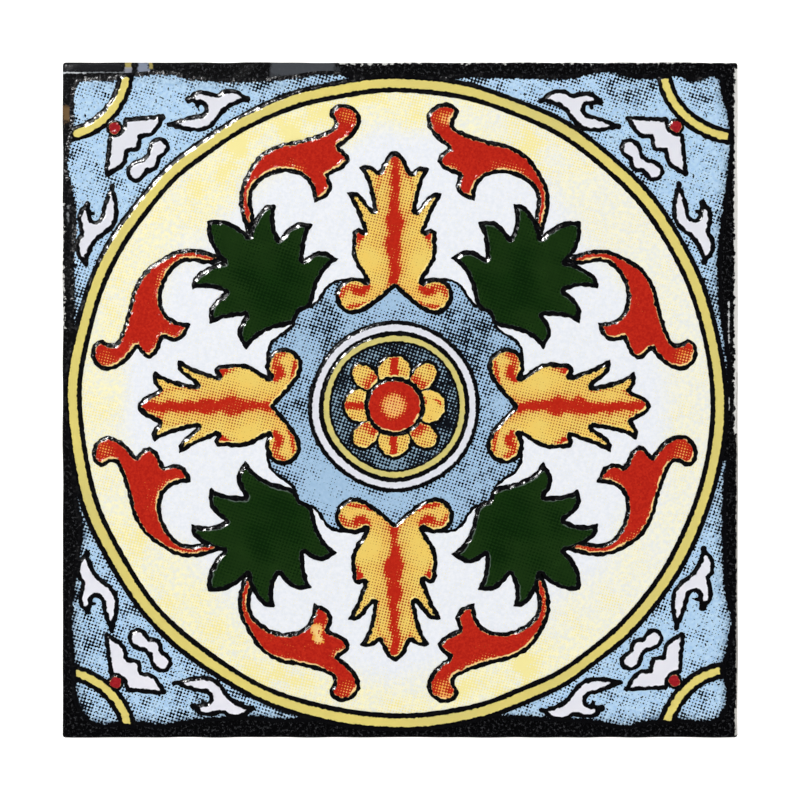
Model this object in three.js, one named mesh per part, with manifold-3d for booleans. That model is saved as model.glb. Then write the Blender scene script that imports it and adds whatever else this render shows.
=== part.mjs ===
// A square glazed wall tile with a raised floral medallion, one fired piece.
// Millimetres, +Z up, the face upward. The origin is the middle of the back.
import * as THREE from 'three';
import { mergeVertices } from 'three/addons/utils/BufferGeometryUtils.js';
import Module from 'manifold-3d';

// The pressed body
const tileSide = 100;
const bodyThickness = 7.7;
const edgeEase = 0.6;
const faceCornerRadius = 0.8;

// Keying grooves pressed into the back
const grooveDepth = 0.6;
const grooveWidth = 3.2;
const groovePitch = 10;
const grooveMargin = 6;

// The glaze on the face: thick coloured glazes, thin grounds, bare black lines
const thickGlaze = 0.3;
const thinGlaze = 0.12;
const lineWidth = 0.65;
const glazeRoot = 0.4;

// The printed pattern sits a little off the middle of the tile
const medallionShift = [-0.75, -0.85];
const scrollShift = [-0.9, -0.4];
const ringShift = [-0.55, -0.4];

// The outer ring, and the rings round the rosette from outside to inside
const ringMargin = 1.85;
const ringWidth = 1.35;
const fieldHoleRadius = 12.75;
const whiteRingWidth = 0.95;
const yellowRingWidth = 0.85;

// The rosette: a button, four round petals and four narrow ones between them
const buttonRadius = 3.7;
const roundPetalRadius = 2.3;
const roundPetalReach = 7.4;
const narrowPetalHalfWidth = 1.55;
const narrowPetalReach = 8.2;

// The corners: a quarter ring, with a bead beside it, about the point where four tiles meet
const jointWidth = 0.4;
const cornerRingRadius = 10.6;
const cornerRingWidth = 1;
const beadDistance = 12.65;
const beadRadius = 0.75;
const borderWidth = 2.4;

// The motifs are drawn for an outer ring of this radius, and follow the ring's real size
const drawnRingRadius = 48.15;
const ringRadius = tileSide / 2 - ringMargin;
const motifScale = ringRadius / drawnRingRadius;
const ringSides = 96;
const smallSides = 48;
const petalSides = 16;
const beadSides = 10;

// Right half of the upright acanthus leaf, from its tip down to its base
const leafHalf = [
  [0, 37.6], [0.8, 37.25], [1.5, 36.4], [2.1, 35.3], [2.45, 34.8], [3.3, 35.35],
  [4.3, 35.5], [5.25, 34.95], [4.5, 33.8], [3.8, 31.9], [3.15, 29.15], [3.8, 29.5],
  [4.7, 30.8], [5.6, 31.5], [6.95, 31.6], [6.4, 30.2], [5.7, 28.8], [5.4, 26.2],
  [6.2, 26.05], [6.35, 24], [6.15, 22.2], [5.5, 20.5], [4.5, 19], [5.2, 19.1],
  [7, 18.95], [8, 18.2], [8.6, 16.9], [8.4, 15.3], [7.3, 14], [5.5, 13.55],
  [3.8, 14], [1.9, 15.6], [0, 17.3],
];

// Half of the palmette, from its tip on the diagonal down to its base
const palmetteHalf = [
  [27.4, 27.4], [25.9, 27.5], [24.4, 27.2], [22.4, 26.1], [21.5, 25.2], [21.3, 26.3],
  [20.1, 28.6], [18.9, 29.8], [17.4, 29.95], [17.7, 28.4], [17.6, 26.6], [17, 25],
  [15.7, 26.5], [14.3, 27.3], [12.1, 27.1], [12.8, 25.8], [13.2, 24.2], [13.4, 22],
  [11.9, 22.9], [10.5, 23.1], [8.25, 21.9], [10, 20.4], [11.2, 18.2], [12.1, 14.9],
  [13.6, 14.1],
];

// The scroll that springs from the palmette and curls against the outer ring
const scroll = [
  [26.4, 22.3], [29.2, 22.95], [32, 22.75], [34.4, 21.6], [36.8, 19.9], [38.5, 17.1],
  [39.25, 13.9], [40.4, 10.3], [41.3, 8.9], [42.1, 8.9], [43.3, 9.5], [44.4, 8.9],
  [44.85, 7.6], [44.5, 6.2], [43.4, 5.1], [42.2, 4.85], [40.6, 5.4], [39.2, 6.5],
  [38, 8], [37, 6.8], [36.1, 6.45], [35, 7.3], [33.9, 9.6], [32.2, 9.15],
  [30.8, 9.95], [29.9, 11.9], [31.8, 12.2], [33.2, 12.9], [34.1, 14.3], [34.3, 16.5],
  [33.5, 18.8], [31.8, 20.7], [30, 21.1], [28.1, 20.8],
];

// Half of one scallop of the centre field, from a leaf's curl to the diagonal
const fieldHalf = [
  [0, 18.5], [7.6, 18.2], [9.4, 18.4], [10.4, 17.4], [11.2, 16.1], [11.9, 14.7], [13.9, 13.9],
];

// Corner motifs, by their distances inward from the point where four tiles meet
const wingedHalf = [
  [9.9, 9.9], [10.4, 8.6], [11.3, 8.3], [15.6, 7.9], [14.6, 9.3], [12.9, 10.1],
  [12.2, 10.6], [12.3, 11.4], [11.9, 11.9],
];
const cloudHalf = [
  [13.8, 13.7], [14.5, 12.5], [14.6, 11.6], [15.4, 11], [16.5, 11.5], [16.7, 12.3],
  [16.2, 12.9], [15.4, 13.4], [15.2, 14.6],
];
const curlLeaf = [
  [28.2, 4.7], [27.4, 4.1], [25.8, 3.9], [24.6, 4.5], [21.3, 4.7], [22.8, 5.5],
  [23.1, 6.6], [22.2, 7.5], [18.5, 8.5], [20.4, 8.95], [22.9, 8.5], [24.2, 7],
  [25.7, 5.6],
];

const wasm = await Module();
wasm.setup();

function toSolid(geometry) {
  const bare = geometry.clone();
  bare.deleteAttribute('normal');
  bare.deleteAttribute('uv');
  const merged = mergeVertices(bare);
  const vertProperties = new Float32Array(merged.attributes.position.array);
  const triVerts = new Uint32Array(merged.index.array);
  return new wasm.Manifold(new wasm.Mesh({ numProp: 3, vertProperties, triVerts }));
}

function toGeometry(solid) {
  const mesh = solid.getMesh();
  const geometry = new THREE.BufferGeometry();
  geometry.setAttribute('position', new THREE.BufferAttribute(mesh.vertProperties, 3));
  geometry.setIndex(new THREE.BufferAttribute(mesh.triVerts, 1));
  geometry.computeVertexNormals();
  return geometry;
}

// Points in a ring, wound counter-clockwise as an extrusion wants them
function asShape(points) {
  const ring = points.map(([x, y]) => new THREE.Vector2(x, y));
  if (THREE.ShapeUtils.isClockWise(ring)) {
    ring.reverse();
  }
  return new THREE.Shape(ring);
}

function mirrorX([x, y]) {
  return [-x, y];
}

function mirrorDiagonal([x, y]) {
  return [y, x];
}

// A half outline closed by its mirror image; points on the mirror line are used once
function closeWith(half, mirror) {
  const others = half.map(mirror).reverse();
  const isOnLine = (i) => {
    const [x, y] = half[i];
    const [u, v] = mirror(half[i]);
    return Math.hypot(x - u, y - v) < 1e-6;
  };
  const first = isOnLine(half.length - 1) ? 1 : 0;
  const last = isOnLine(0) ? others.length - 1 : others.length;
  return half.concat(others.slice(first, last));
}

function quarterTurn([x, y], turns) {
  const cos = Math.round(Math.cos(turns * Math.PI / 2));
  const sin = Math.round(Math.sin(turns * Math.PI / 2));
  return [x * cos - y * sin, x * sin + y * cos];
}

function circlePoints(x, y, radiusX, radiusY, turn, sides) {
  const points = [];
  for (let i = 0; i < sides; i += 1) {
    const angle = i / sides * Math.PI * 2;
    const u = radiusX * Math.cos(angle);
    const v = radiusY * Math.sin(angle);
    points.push([
      x + u * Math.cos(turn) - v * Math.sin(turn),
      y + u * Math.sin(turn) + v * Math.cos(turn),
    ]);
  }
  return points;
}

// A raised field of glaze, rooted a little in the body, with a hole if one is given
function glazeField(points, height, holePoints) {
  const shape = asShape(points);
  if (holePoints) {
    shape.holes.push(asShape(holePoints));
  }
  const geometry = new THREE.ExtrudeGeometry(shape, {
    depth: glazeRoot + height,
    bevelEnabled: false,
  });
  geometry.translate(0, 0, bodyThickness - glazeRoot);
  return toSolid(geometry);
}

function glazeDisc([x, y], radius, height, sides) {
  return glazeField(circlePoints(x, y, radius, radius, 0, sides), height);
}

function glazeRing([x, y], innerRadius, outerRadius, height, sides) {
  const outer = circlePoints(x, y, outerRadius, outerRadius, 0, sides);
  const inner = circlePoints(x, y, innerRadius, innerRadius, 0, sides);
  return glazeField(outer, height, inner);
}

function moved(points, [dx, dy], scale) {
  return points.map(([x, y]) => [x * scale + dx, y * scale + dy]);
}

function bodySolid() {
  const half = tileSide / 2 - edgeEase;
  const radius = faceCornerRadius;
  const shape = new THREE.Shape();
  shape.moveTo(-half + radius, -half);
  shape.lineTo(half - radius, -half);
  shape.absarc(half - radius, -half + radius, radius, -Math.PI / 2, 0);
  shape.lineTo(half, half - radius);
  shape.absarc(half - radius, half - radius, radius, 0, Math.PI / 2);
  shape.lineTo(-half + radius, half);
  shape.absarc(-half + radius, half - radius, radius, Math.PI / 2, Math.PI);
  shape.lineTo(-half, -half + radius);
  shape.absarc(-half + radius, -half + radius, radius, Math.PI, Math.PI * 1.5);
  const geometry = new THREE.ExtrudeGeometry(shape, {
    depth: bodyThickness - 2 * edgeEase,
    bevelThickness: edgeEase,
    bevelSize: edgeEase,
    bevelSegments: 4,
    curveSegments: 5,
  });
  geometry.translate(0, 0, edgeEase);
  let solid = toSolid(geometry);

  // Grooves lie either side of a land through the middle, and stop short of the edges
  const length = tileSide - 2 * grooveMargin;
  const count = Math.floor((length / 2 - grooveWidth / 2) / groovePitch + 0.5);
  for (let i = 0; i < count; i += 1) {
    for (const side of [-1, 1]) {
      const groove = new THREE.BoxGeometry(length, grooveWidth, 2 * grooveDepth);
      groove.translate(0, side * (i + 0.5) * groovePitch, 0);
      solid = solid.subtract(toSolid(groove));
    }
  }
  return solid;
}

function medallionFields() {
  const fields = [];
  const leaf = closeWith(leafHalf, mirrorX);
  const palmette = closeWith(palmetteHalf, mirrorDiagonal);
  const scallop = fieldHalf.concat(fieldHalf.slice(1, -1).map(mirrorDiagonal).reverse());
  const field = [];
  for (let turn = 3; turn >= 0; turn -= 1) {
    field.push(...scallop.map((point) => quarterTurn(point, turn)));
    const motifs = [
      [leaf, medallionShift], [palmette, medallionShift],
      [scroll, scrollShift], [scroll.map(mirrorDiagonal), scrollShift],
    ];
    for (const [motif, shift] of motifs) {
      const points = motif.map((point) => quarterTurn(point, turn));
      fields.push(glazeField(moved(points, shift, motifScale), thickGlaze));
    }
  }
  const ground = glazeField(moved(field, medallionShift, motifScale), thinGlaze);
  const hole = glazeDisc(medallionShift, fieldHoleRadius, thickGlaze, smallSides);
  fields.push(ground.subtract(hole));
  return fields;
}

function rosetteFields() {
  const fields = [];
  const whiteOuter = fieldHoleRadius - lineWidth;
  const whiteInner = whiteOuter - whiteRingWidth;
  const yellowOuter = whiteInner - lineWidth;
  const yellowInner = yellowOuter - yellowRingWidth;
  const discRadius = yellowInner - lineWidth;
  fields.push(glazeRing(medallionShift, whiteInner, whiteOuter, thickGlaze, smallSides));
  fields.push(glazeRing(medallionShift, yellowInner, yellowOuter, thickGlaze, smallSides));
  fields.push(glazeDisc(medallionShift, discRadius, thinGlaze, smallSides));

  // Petals are cut back by the line that runs round the button
  const buttonLine = buttonRadius + lineWidth;
  const buttonRoom = glazeDisc(medallionShift, buttonLine, 2 * thickGlaze, smallSides);
  const [cx, cy] = medallionShift;
  for (let i = 0; i < 8; i += 1) {
    const isRound = i % 2 === 0;
    const along = i * Math.PI / 4;
    const halfLength = isRound ? roundPetalRadius : (narrowPetalReach - buttonLine) / 2;
    const halfWidth = isRound ? roundPetalRadius : narrowPetalHalfWidth;
    const reach = (isRound ? roundPetalReach : narrowPetalReach) - halfLength;
    const x = cx + reach * Math.cos(along);
    const y = cy + reach * Math.sin(along);
    const points = circlePoints(x, y, halfLength, halfWidth, along, petalSides);
    fields.push(glazeField(points, thickGlaze).subtract(buttonRoom));
  }
  fields.push(glazeDisc(medallionShift, buttonRadius, thickGlaze, smallSides));
  return fields;
}

function cornerFields() {
  const fields = [];
  const corner = tileSide / 2 + jointWidth / 2;
  const inside = tileSide - 2 * borderWidth;
  const window = new THREE.BoxGeometry(inside, inside, 4 * bodyThickness);
  const windowSolid = toSolid(window);
  const bead = beadDistance / Math.SQRT2;
  const winged = closeWith(wingedHalf, mirrorDiagonal);
  const cloud = closeWith(cloudHalf, mirrorDiagonal);
  for (let turn = 0; turn < 4; turn += 1) {
    const [x, y] = quarterTurn([corner, corner], turn);
    const centre = [x + ringShift[0], y + ringShift[1]];
    const inner = cornerRingRadius - cornerRingWidth / 2;
    const outer = cornerRingRadius + cornerRingWidth / 2;
    const ring = glazeRing(centre, inner, outer, thickGlaze, smallSides);
    fields.push(ring.intersect(windowSolid));
    const motifs = [winged, cloud, curlLeaf, curlLeaf.map(mirrorDiagonal)];
    for (const motif of motifs) {
      const points = motif.map((point) => quarterTurn(point, turn + 2));
      fields.push(glazeField(moved(points, centre, motifScale), thickGlaze));
    }
    const [bx, by] = quarterTurn([-bead, -bead], turn);
    const beadCentre = [centre[0] + bx, centre[1] + by];
    fields.push(glazeDisc(beadCentre, beadRadius, thickGlaze, beadSides));
  }
  return fields;
}

function tileSolid() {
  let solid = bodySolid();
  const ringInner = ringRadius - ringWidth;
  solid = solid.add(glazeRing(ringShift, ringInner, ringRadius, thickGlaze, ringSides));
  for (const field of [...medallionFields(), ...rosetteFields(), ...cornerFields()]) {
    solid = solid.add(field);
  }
  return solid;
}

const glaze = new THREE.MeshStandardMaterial({ color: '#e6e8ea', roughness: 0.25, metalness: 0 });
const tile = new THREE.Mesh(toGeometry(tileSolid()), glaze);
tile.name = 'tile';

const group = new THREE.Group();
group.add(tile);

export default group;
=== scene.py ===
# Square glazed wall tile with a floral medallion, seen straight from above.
# Drawn in millimetres with +Z up, and turned to metres where a mesh is made.
import math

import bpy
import numpy as np
from mathutils.geometry import delaunay_2d_cdt
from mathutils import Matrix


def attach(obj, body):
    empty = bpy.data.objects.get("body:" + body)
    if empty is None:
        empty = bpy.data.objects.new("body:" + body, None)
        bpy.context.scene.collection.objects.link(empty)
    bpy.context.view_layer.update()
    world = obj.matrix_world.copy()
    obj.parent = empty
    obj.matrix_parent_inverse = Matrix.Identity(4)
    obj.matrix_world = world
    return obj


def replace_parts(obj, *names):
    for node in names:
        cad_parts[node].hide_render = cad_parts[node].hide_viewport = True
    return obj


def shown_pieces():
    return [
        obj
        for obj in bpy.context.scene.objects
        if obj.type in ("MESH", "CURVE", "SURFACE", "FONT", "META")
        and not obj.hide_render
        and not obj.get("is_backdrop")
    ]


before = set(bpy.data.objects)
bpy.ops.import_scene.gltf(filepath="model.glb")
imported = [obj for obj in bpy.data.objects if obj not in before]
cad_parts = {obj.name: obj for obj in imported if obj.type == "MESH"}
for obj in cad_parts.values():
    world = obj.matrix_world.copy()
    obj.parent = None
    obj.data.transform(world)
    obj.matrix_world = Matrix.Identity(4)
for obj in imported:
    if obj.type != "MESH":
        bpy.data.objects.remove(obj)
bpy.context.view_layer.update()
print("frame loaded")

mm = 0.001
lineEdge = 0.68      # how far inside a piece's foot the black line gives way to colour
edgeLimit = 49.75      # glaze keeps this close to the middle, clear of the arris
bareSide = (0.55, -0.83)      # prints slipped up and left, so glaze lies bare along this side
crease = {"glaze": 38, "body": 50}      # degrees from which an edge looks sharp

# Heights above the tile's back
heights = {
    "root": 7.55,        # glaze pieces are rooted this deep in the body
    "face": 7.70,        # black border
    "ground": 7.80,      # thin white and blue grounds
    "field": 7.825,      # blue field round the rosette
    "brim": 7.845,       # black line at the foot of a raised pool
    "shoulder": 7.968,
    "crown": 7.996,
    "most": 7.999,       # nothing on the face stands higher
}

# A raised pool by the distance in from its foot: where its brim ends, how wide its
# shoulder climbs and where that ends, how its crown swells on, and where its mesh
# follows its edge
pool = {
    "brim": 0.3,
    "climb": 0.46,
    "shoulder": 0.76,
    "swell": 0.6,
    "levels": (0, 0.3, 0.42, 0.55, 0.68, 0.76, 0.9, 1.15),
}

# The print sits a little off the middle of the tile, and is a touch wider than high
printPlace = {
    "medallion": {"shift": (-0.85, -0.9), "scale": (1.006, 0.996)},
    "rosette": {"shift": (-0.85, -0.9), "scale": (1.0, 0.995)},
    "scrolls": {"shift": (-0.9, -0.4), "scale": (1.0, 0.99)},
    "ring": {"shift": (-0.6, -0.43), "scale": (1.0, 0.989)},
    "wander": 0.13,      # the hand-cut screen wanders this much over some 8 mm
    "waver": 0.075,      # and this much over 1 mm
}


def smoothOutline(points, step=0.2, cornerTurn=58):
    # Chosen points joined by a smooth curve, kept sharp where the outline turns hard
    p = np.array(points, float)
    count = len(p)
    into = p - np.roll(p, 1, 0)
    onward = np.roll(p, -1, 0) - p
    turn = np.arctan2(
        into[:, 0] * onward[:, 1] - into[:, 1] * onward[:, 0], (into * onward).sum(1)
    )
    sharp = np.abs(np.degrees(turn)) > cornerTurn
    made = []
    for i in range(count):
        b = p[i]
        c = p[(i + 1) % count]
        a = 2 * b - c if sharp[i] else p[i - 1]
        d = 2 * c - b if sharp[(i + 1) % count] else p[(i + 2) % count]
        k0 = 0.0
        k1 = k0 + math.sqrt(np.hypot(*(b - a)))
        k2 = k1 + math.sqrt(np.hypot(*(c - b)))
        k3 = k2 + math.sqrt(np.hypot(*(d - c)))
        steps = max(2, int(np.hypot(*(c - b)) / step))
        for t in np.linspace(k1, k2, steps, endpoint=False):
            ab = ((k1 - t) * a + (t - k0) * b) / (k1 - k0)
            bc = ((k2 - t) * b + (t - k1) * c) / (k2 - k1)
            cd = ((k3 - t) * c + (t - k2) * d) / (k3 - k2)
            abc = ((k2 - t) * ab + (t - k0) * bc) / (k2 - k0)
            bcd = ((k3 - t) * bc + (t - k1) * cd) / (k3 - k1)
            made.append(((k2 - t) * abc + (t - k1) * bcd) / (k2 - k1))
    return np.array(made)


def closeHalf(half, flip):
    # A half outline closed by its mirror image; points on the mirror line are used once
    others = [flip(point) for point in reversed(half)]
    return list(half) + [q for q in others if min(math.dist(q, h) for h in half) > 1e-6]


def makeGrid(low, high, step):
    xs = np.arange(low[0], high[0] + step, step)
    ys = np.arange(low[1], high[1] + step, step)
    x, y = np.meshgrid(xs, ys)
    return {"xs": xs, "ys": ys, "x": x, "y": y, "step": step}


def gridAround(outline, step, margin):
    return makeGrid(outline.min(0) - margin, outline.max(0) + margin, step)


def depthInside(outline, grid):
    # How far each grid point lies inside a closed outline, in mm, negative outside
    px = grid["x"].ravel()
    py = grid["y"].ravel()
    nearest = np.full(px.shape, 1e9)
    odd = np.zeros(px.shape, bool)
    for (ax, ay), (bx, by) in zip(outline, np.roll(outline, -1, 0)):
        dx = bx - ax
        dy = by - ay
        along = np.clip(((px - ax) * dx + (py - ay) * dy) / (dx * dx + dy * dy + 1e-12), 0, 1)
        gap = (px - ax - along * dx) ** 2 + (py - ay - along * dy) ** 2
        nearest = np.minimum(nearest, gap)
        if ay != by:
            odd ^= ((ay > py) != (by > py)) & (px < dx * (py - ay) / dy + ax)
    return np.where(odd, 1, -1).reshape(grid["x"].shape) * np.sqrt(nearest).reshape(grid["x"].shape)


def readGrid(grid, values, points):
    # Values between grid points, by bilinear interpolation
    fx = np.clip((points[:, 0] - grid["xs"][0]) / grid["step"], 0, len(grid["xs"]) - 1.001)
    fy = np.clip((points[:, 1] - grid["ys"][0]) / grid["step"], 0, len(grid["ys"]) - 1.001)
    i = fx.astype(int)
    j = fy.astype(int)
    s = fx - i
    t = fy - j
    low = values[j, i] * (1 - s) + values[j, i + 1] * s
    high = values[j + 1, i] * (1 - s) + values[j + 1, i + 1] * s
    return low * (1 - t) + high * t


# Which sides of a grid cell a level line joins, by which corners lie inside
# (1, 2, 4, 8 from the lower left, counter-clockwise), with the inside on its left
cellPaths = {
    1: "bl", 2: "rb", 3: "rl", 4: "tr", 5: "bltr", 6: "tb", 7: "tl",
    8: "lt", 9: "bt", 10: "rblt", 11: "rt", 12: "lr", 13: "br", 14: "lb",
}


def traceLevel(grid, inside, level, spacing):
    # Closed loops along one level of the depth grid, evenly spaced
    v = inside - level
    v = np.where(v == 0, 1e-9, v)
    s = v > 0
    cases = s[:-1, :-1] + 2 * s[:-1, 1:] + 4 * s[1:, 1:] + 8 * s[1:, :-1]
    follow = {}
    for j, i in zip(*np.nonzero((cases > 0) & (cases < 15))):
        sides = {"b": (0, i, j), "t": (0, i, j + 1), "l": (1, i, j), "r": (1, i + 1, j)}
        path = cellPaths[int(cases[j, i])]
        for k in range(0, len(path), 2):
            follow[sides[path[k]]] = sides[path[k + 1]]
    loops = []
    while follow:
        start = next(iter(follow))
        here = start
        loop = []
        while here in follow:
            upright, i, j = here
            a = v[j, i]
            b = v[j + 1, i] if upright else v[j, i + 1]
            part = a / (a - b) * grid["step"]
            x = grid["xs"][i] + (0 if upright else part)
            y = grid["ys"][j] + (part if upright else 0)
            loop.append((x, y))
            here = follow.pop(here)
        loop = np.array(loop)
        length = np.hypot(*(np.roll(loop, -1, 0) - loop).T)
        total = length.sum()
        if total < 0.7:
            continue
        at = np.concatenate([[0], np.cumsum(length)])
        closed = np.vstack([loop, loop[:1]])
        stops = np.linspace(0, total, max(6, int(total / spacing)), endpoint=False)
        loops.append(np.column_stack([np.interp(stops, at, closed[:, k]) for k in (0, 1)]))
    return loops


def joinTriangles(points, edges, isInside):
    # Triangles that keep the given edges, without those outside the shape
    made = delaunay_2d_cdt([tuple(p) for p in points], edges, [], 0, 1e-6, False)
    spots = np.array([tuple(v) for v in made[0]])
    triangles = np.array([tuple(f) for f in made[2]])
    middle = spots[triangles].mean(1)
    triangles = triangles[isInside(middle)]
    a, b, c = (spots[triangles[:, k]] for k in range(3))
    area = (b[:, 0] - a[:, 0]) * (c[:, 1] - a[:, 1]) - (b[:, 1] - a[:, 1]) * (c[:, 0] - a[:, 0])
    triangles = triangles[np.abs(area) > 1e-7]
    area = area[np.abs(area) > 1e-7]
    triangles[area < 0] = triangles[area < 0][:, ::-1]
    return spots, triangles


def outerEdges(triangles):
    # Edges that only one triangle uses, in that triangle's direction
    sides = np.vstack([triangles[:, [0, 1]], triangles[:, [1, 2]], triangles[:, [2, 0]]])
    seen = {}
    for a, b in sides.tolist():
        if (b, a) in seen:
            del seen[(b, a)]
        else:
            seen[(a, b)] = True
    return list(seen)


def shapePart(grid, inside, levels, spacing=0.24, fill=0.5, seed=1):
    # One flat shape cut into triangles that follow its edge at each level, with the
    # depth from its edge and the direction away from it at each point
    points = []
    edges = []
    for level in levels:
        for loop in traceLevel(grid, inside, level, spacing):
            first = len(points)
            points.extend(loop.tolist())
            count = len(loop)
            edges.extend((first + k, first + (k + 1) % count) for k in range(count))
    dice = np.random.default_rng(seed)
    every = makeGrid((grid["xs"][0], grid["ys"][0]), (grid["xs"][-1], grid["ys"][-1]), fill)
    spots = np.column_stack([every["x"].ravel(), every["y"].ravel()])
    spots = spots + dice.uniform(-0.22, 0.22, spots.shape) * fill
    deep = readGrid(grid, inside, spots) > levels[-1] + 0.45 * fill
    points.extend(spots[deep].tolist())
    flat, triangles = joinTriangles(
        points, edges, lambda at: readGrid(grid, inside, at) > levels[0] + 0.003
    )
    slopeY, slopeX = np.gradient(inside, grid["step"])
    rim = outerEdges(triangles)
    ring = sorted({a for edge in rim for a in edge})
    order = {a: k for k, a in enumerate(ring)}
    base, under = joinTriangles(
        flat[ring], [(order[a], order[b]) for a, b in rim],
        lambda at: readGrid(grid, inside, at) > levels[0],
    )
    under = np.array(ring)[under] if len(base) == len(ring) else np.zeros((0, 3), int)
    return {
        "points": flat,
        "drawn": flat.copy(),
        "triangles": triangles,
        "under": under,
        "edge": np.maximum(readGrid(grid, inside, flat), 0),
        "away": -np.column_stack([readGrid(grid, s, flat) for s in (slopeX, slopeY)]),
    }


def turnedPart(radii, edges, segments):
    # A ring or disc by its radii from the outside in, with the distance from its foot at each
    angles = np.arange(segments) / segments * 2 * math.pi
    points = []
    depth = []
    for radius, edge in zip(radii, edges):
        count = segments if radius > 0 else 1
        points.extend((radius * math.cos(a), radius * math.sin(a)) for a in angles[:count])
        depth.extend([edge] * count)
    triangles = []
    for k in range(len(radii) - 1):
        for i in range(segments):
            a = k * segments + i
            b = k * segments + (i + 1) % segments
            if radii[k + 1] > 0:
                triangles.append((a, b, b + segments))
                triangles.append((a, b + segments, a + segments))
            else:
                triangles.append((a, b, (k + 1) * segments))
    flat = np.array(points)
    reach = np.hypot(flat[:, 0], flat[:, 1])
    middle = (radii[0] + radii[-1]) / 2 if radii[-1] > 0 else 0
    side = np.where(reach >= middle, 1, -1)[:, None]
    last = (len(radii) - 1) * segments
    if radii[-1] > 0:
        under = [(i, (i + 1) % segments, last + i) for i in range(segments)]
        under += [((i + 1) % segments, last + (i + 1) % segments, last + i) for i in range(segments)]
    else:
        under = [(0, i, i + 1) for i in range(1, segments - 1)]
    return {
        "points": flat,
        "triangles": np.array(triangles),
        "under": np.array(under),
        "edge": np.array(depth, float),
        "away": flat / np.maximum(reach, 1e-6)[:, None] * side,
    }


def ripple(x, y, size, seed):
    # A smooth wander between about -1 and 1, its bumps about size mm across
    dice = np.random.default_rng(seed)
    total = 0
    for _ in range(7):
        angle = dice.uniform(0, 2 * math.pi)
        wave = 2 * math.pi / (size * dice.uniform(1.3, 3.2))
        shift = dice.uniform(0, 2 * math.pi)
        total = total + np.sin((x * math.cos(angle) + y * math.sin(angle)) * wave + shift)
    return total / 3


def ramp(value, low, high):
    t = np.clip((value - low) / (high - low), 0, 1)
    return t * t * (3 - 2 * t)


def spot(x, y, atX, atY, radius):
    return np.exp(-((x - atX) ** 2 + (y - atY) ** 2) / radius ** 2)


def addSpots(tone, x, y, spots):
    for atX, atY, radius, amount in spots:
        tone = tone + amount * spot(x, y, atX, atY, radius)
    return tone


def farFrom(x, y, path):
    # Distance from a path of points
    nearest = np.full(np.shape(x), 1e9)
    for (ax, ay), (bx, by) in zip(path[:-1], path[1:]):
        dx = bx - ax
        dy = by - ay
        along = np.clip(((x - ax) * dx + (y - ay) * dy) / (dx * dx + dy * dy), 0, 1)
        nearest = np.minimum(nearest, np.hypot(x - ax - along * dx, y - ay - along * dy))
    return nearest


def stroke(x, y, path, width):
    # 1 along a path of points, falling away over the width
    return np.exp(-(farFrom(x, y, path) / width) ** 2)


def quarterTurn(turn):
    # Cosine and sine of so many quarter turns, as whole numbers
    return round(math.cos(turn * math.pi / 2)), round(math.sin(turn * math.pi / 2))


def towardsBareSide(away):
    return away[:, 0] * bareSide[0] + away[:, 1] * bareSide[1]


def setPart(part, turn=0, flip=False, shift=(0, 0), scale=(1, 1), warp=True, waver=1):
    # A copy of a part turned by quarter turns, mirrored in the diagonal if asked,
    # stretched and shifted to its place, and given the screen's wander
    cos, sin = quarterTurn(turn)
    matrix = np.array([[cos, -sin], [sin, cos]], float)
    if flip:
        matrix = matrix @ np.array([[0, 1], [1, 0]], float)
    points = part["points"] @ matrix.T * np.array(scale) + np.array(shift)
    if warp:
        x, y = points.T
        far = printPlace["wander"]
        near = printPlace["waver"] * waver
        points = points + np.column_stack([
            far * ripple(x, y, 8, 11) + near * ripple(x, y, 0.6, 12),
            far * ripple(x, y, 8, 13) + near * ripple(x, y, 0.6, 14),
        ])
    placed = dict(part)
    placed["points"] = points
    placed["away"] = part["away"] @ matrix.T
    if flip:
        placed["triangles"] = part["triangles"][:, ::-1]
        placed["under"] = part["under"][:, ::-1]
    return placed


def poolHeight(part, brim=heights["brim"], lift=1.0):
    # Coloured glaze stands proud of the bare line, rounded at its shoulder by surface tension
    edge = part["edge"]
    x, y = part["points"].T
    # The glaze ran a little thinner towards the lower right
    lift = lift * (1 - 0.3 * ramp(x - y, 8, 45))
    rise = (heights["shoulder"] - heights["brim"]) * lift
    crown = (heights["crown"] - heights["shoulder"]) * lift
    uneven = 1 + 0.22 * ripple(x, y, 1.3, 31)
    climbed = np.clip((edge - pool["brim"]) / pool["climb"], 0, 1)
    up = rise * climbed * np.clip(uneven, 0.6, 1.15)
    swollen = 1 - np.exp(-np.maximum(edge - pool["shoulder"], 0) / pool["swell"])
    over = crown * swollen * (0.85 + 0.15 * ripple(x, y, 3, 32))
    return np.minimum(brim + up + over, heights["most"])


def plateHeight(part, top, drop):
    # A thin ground, sloping down to the black at its edge
    return top - drop * (1 - ramp(part["edge"], 0.0, 0.9))


def addPiece(name, mesh):
    # A new object that rides on the tile's one body
    piece = bpy.data.objects.new(name, mesh)
    bpy.context.scene.collection.objects.link(piece)
    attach(piece, "root")
    return piece


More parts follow.
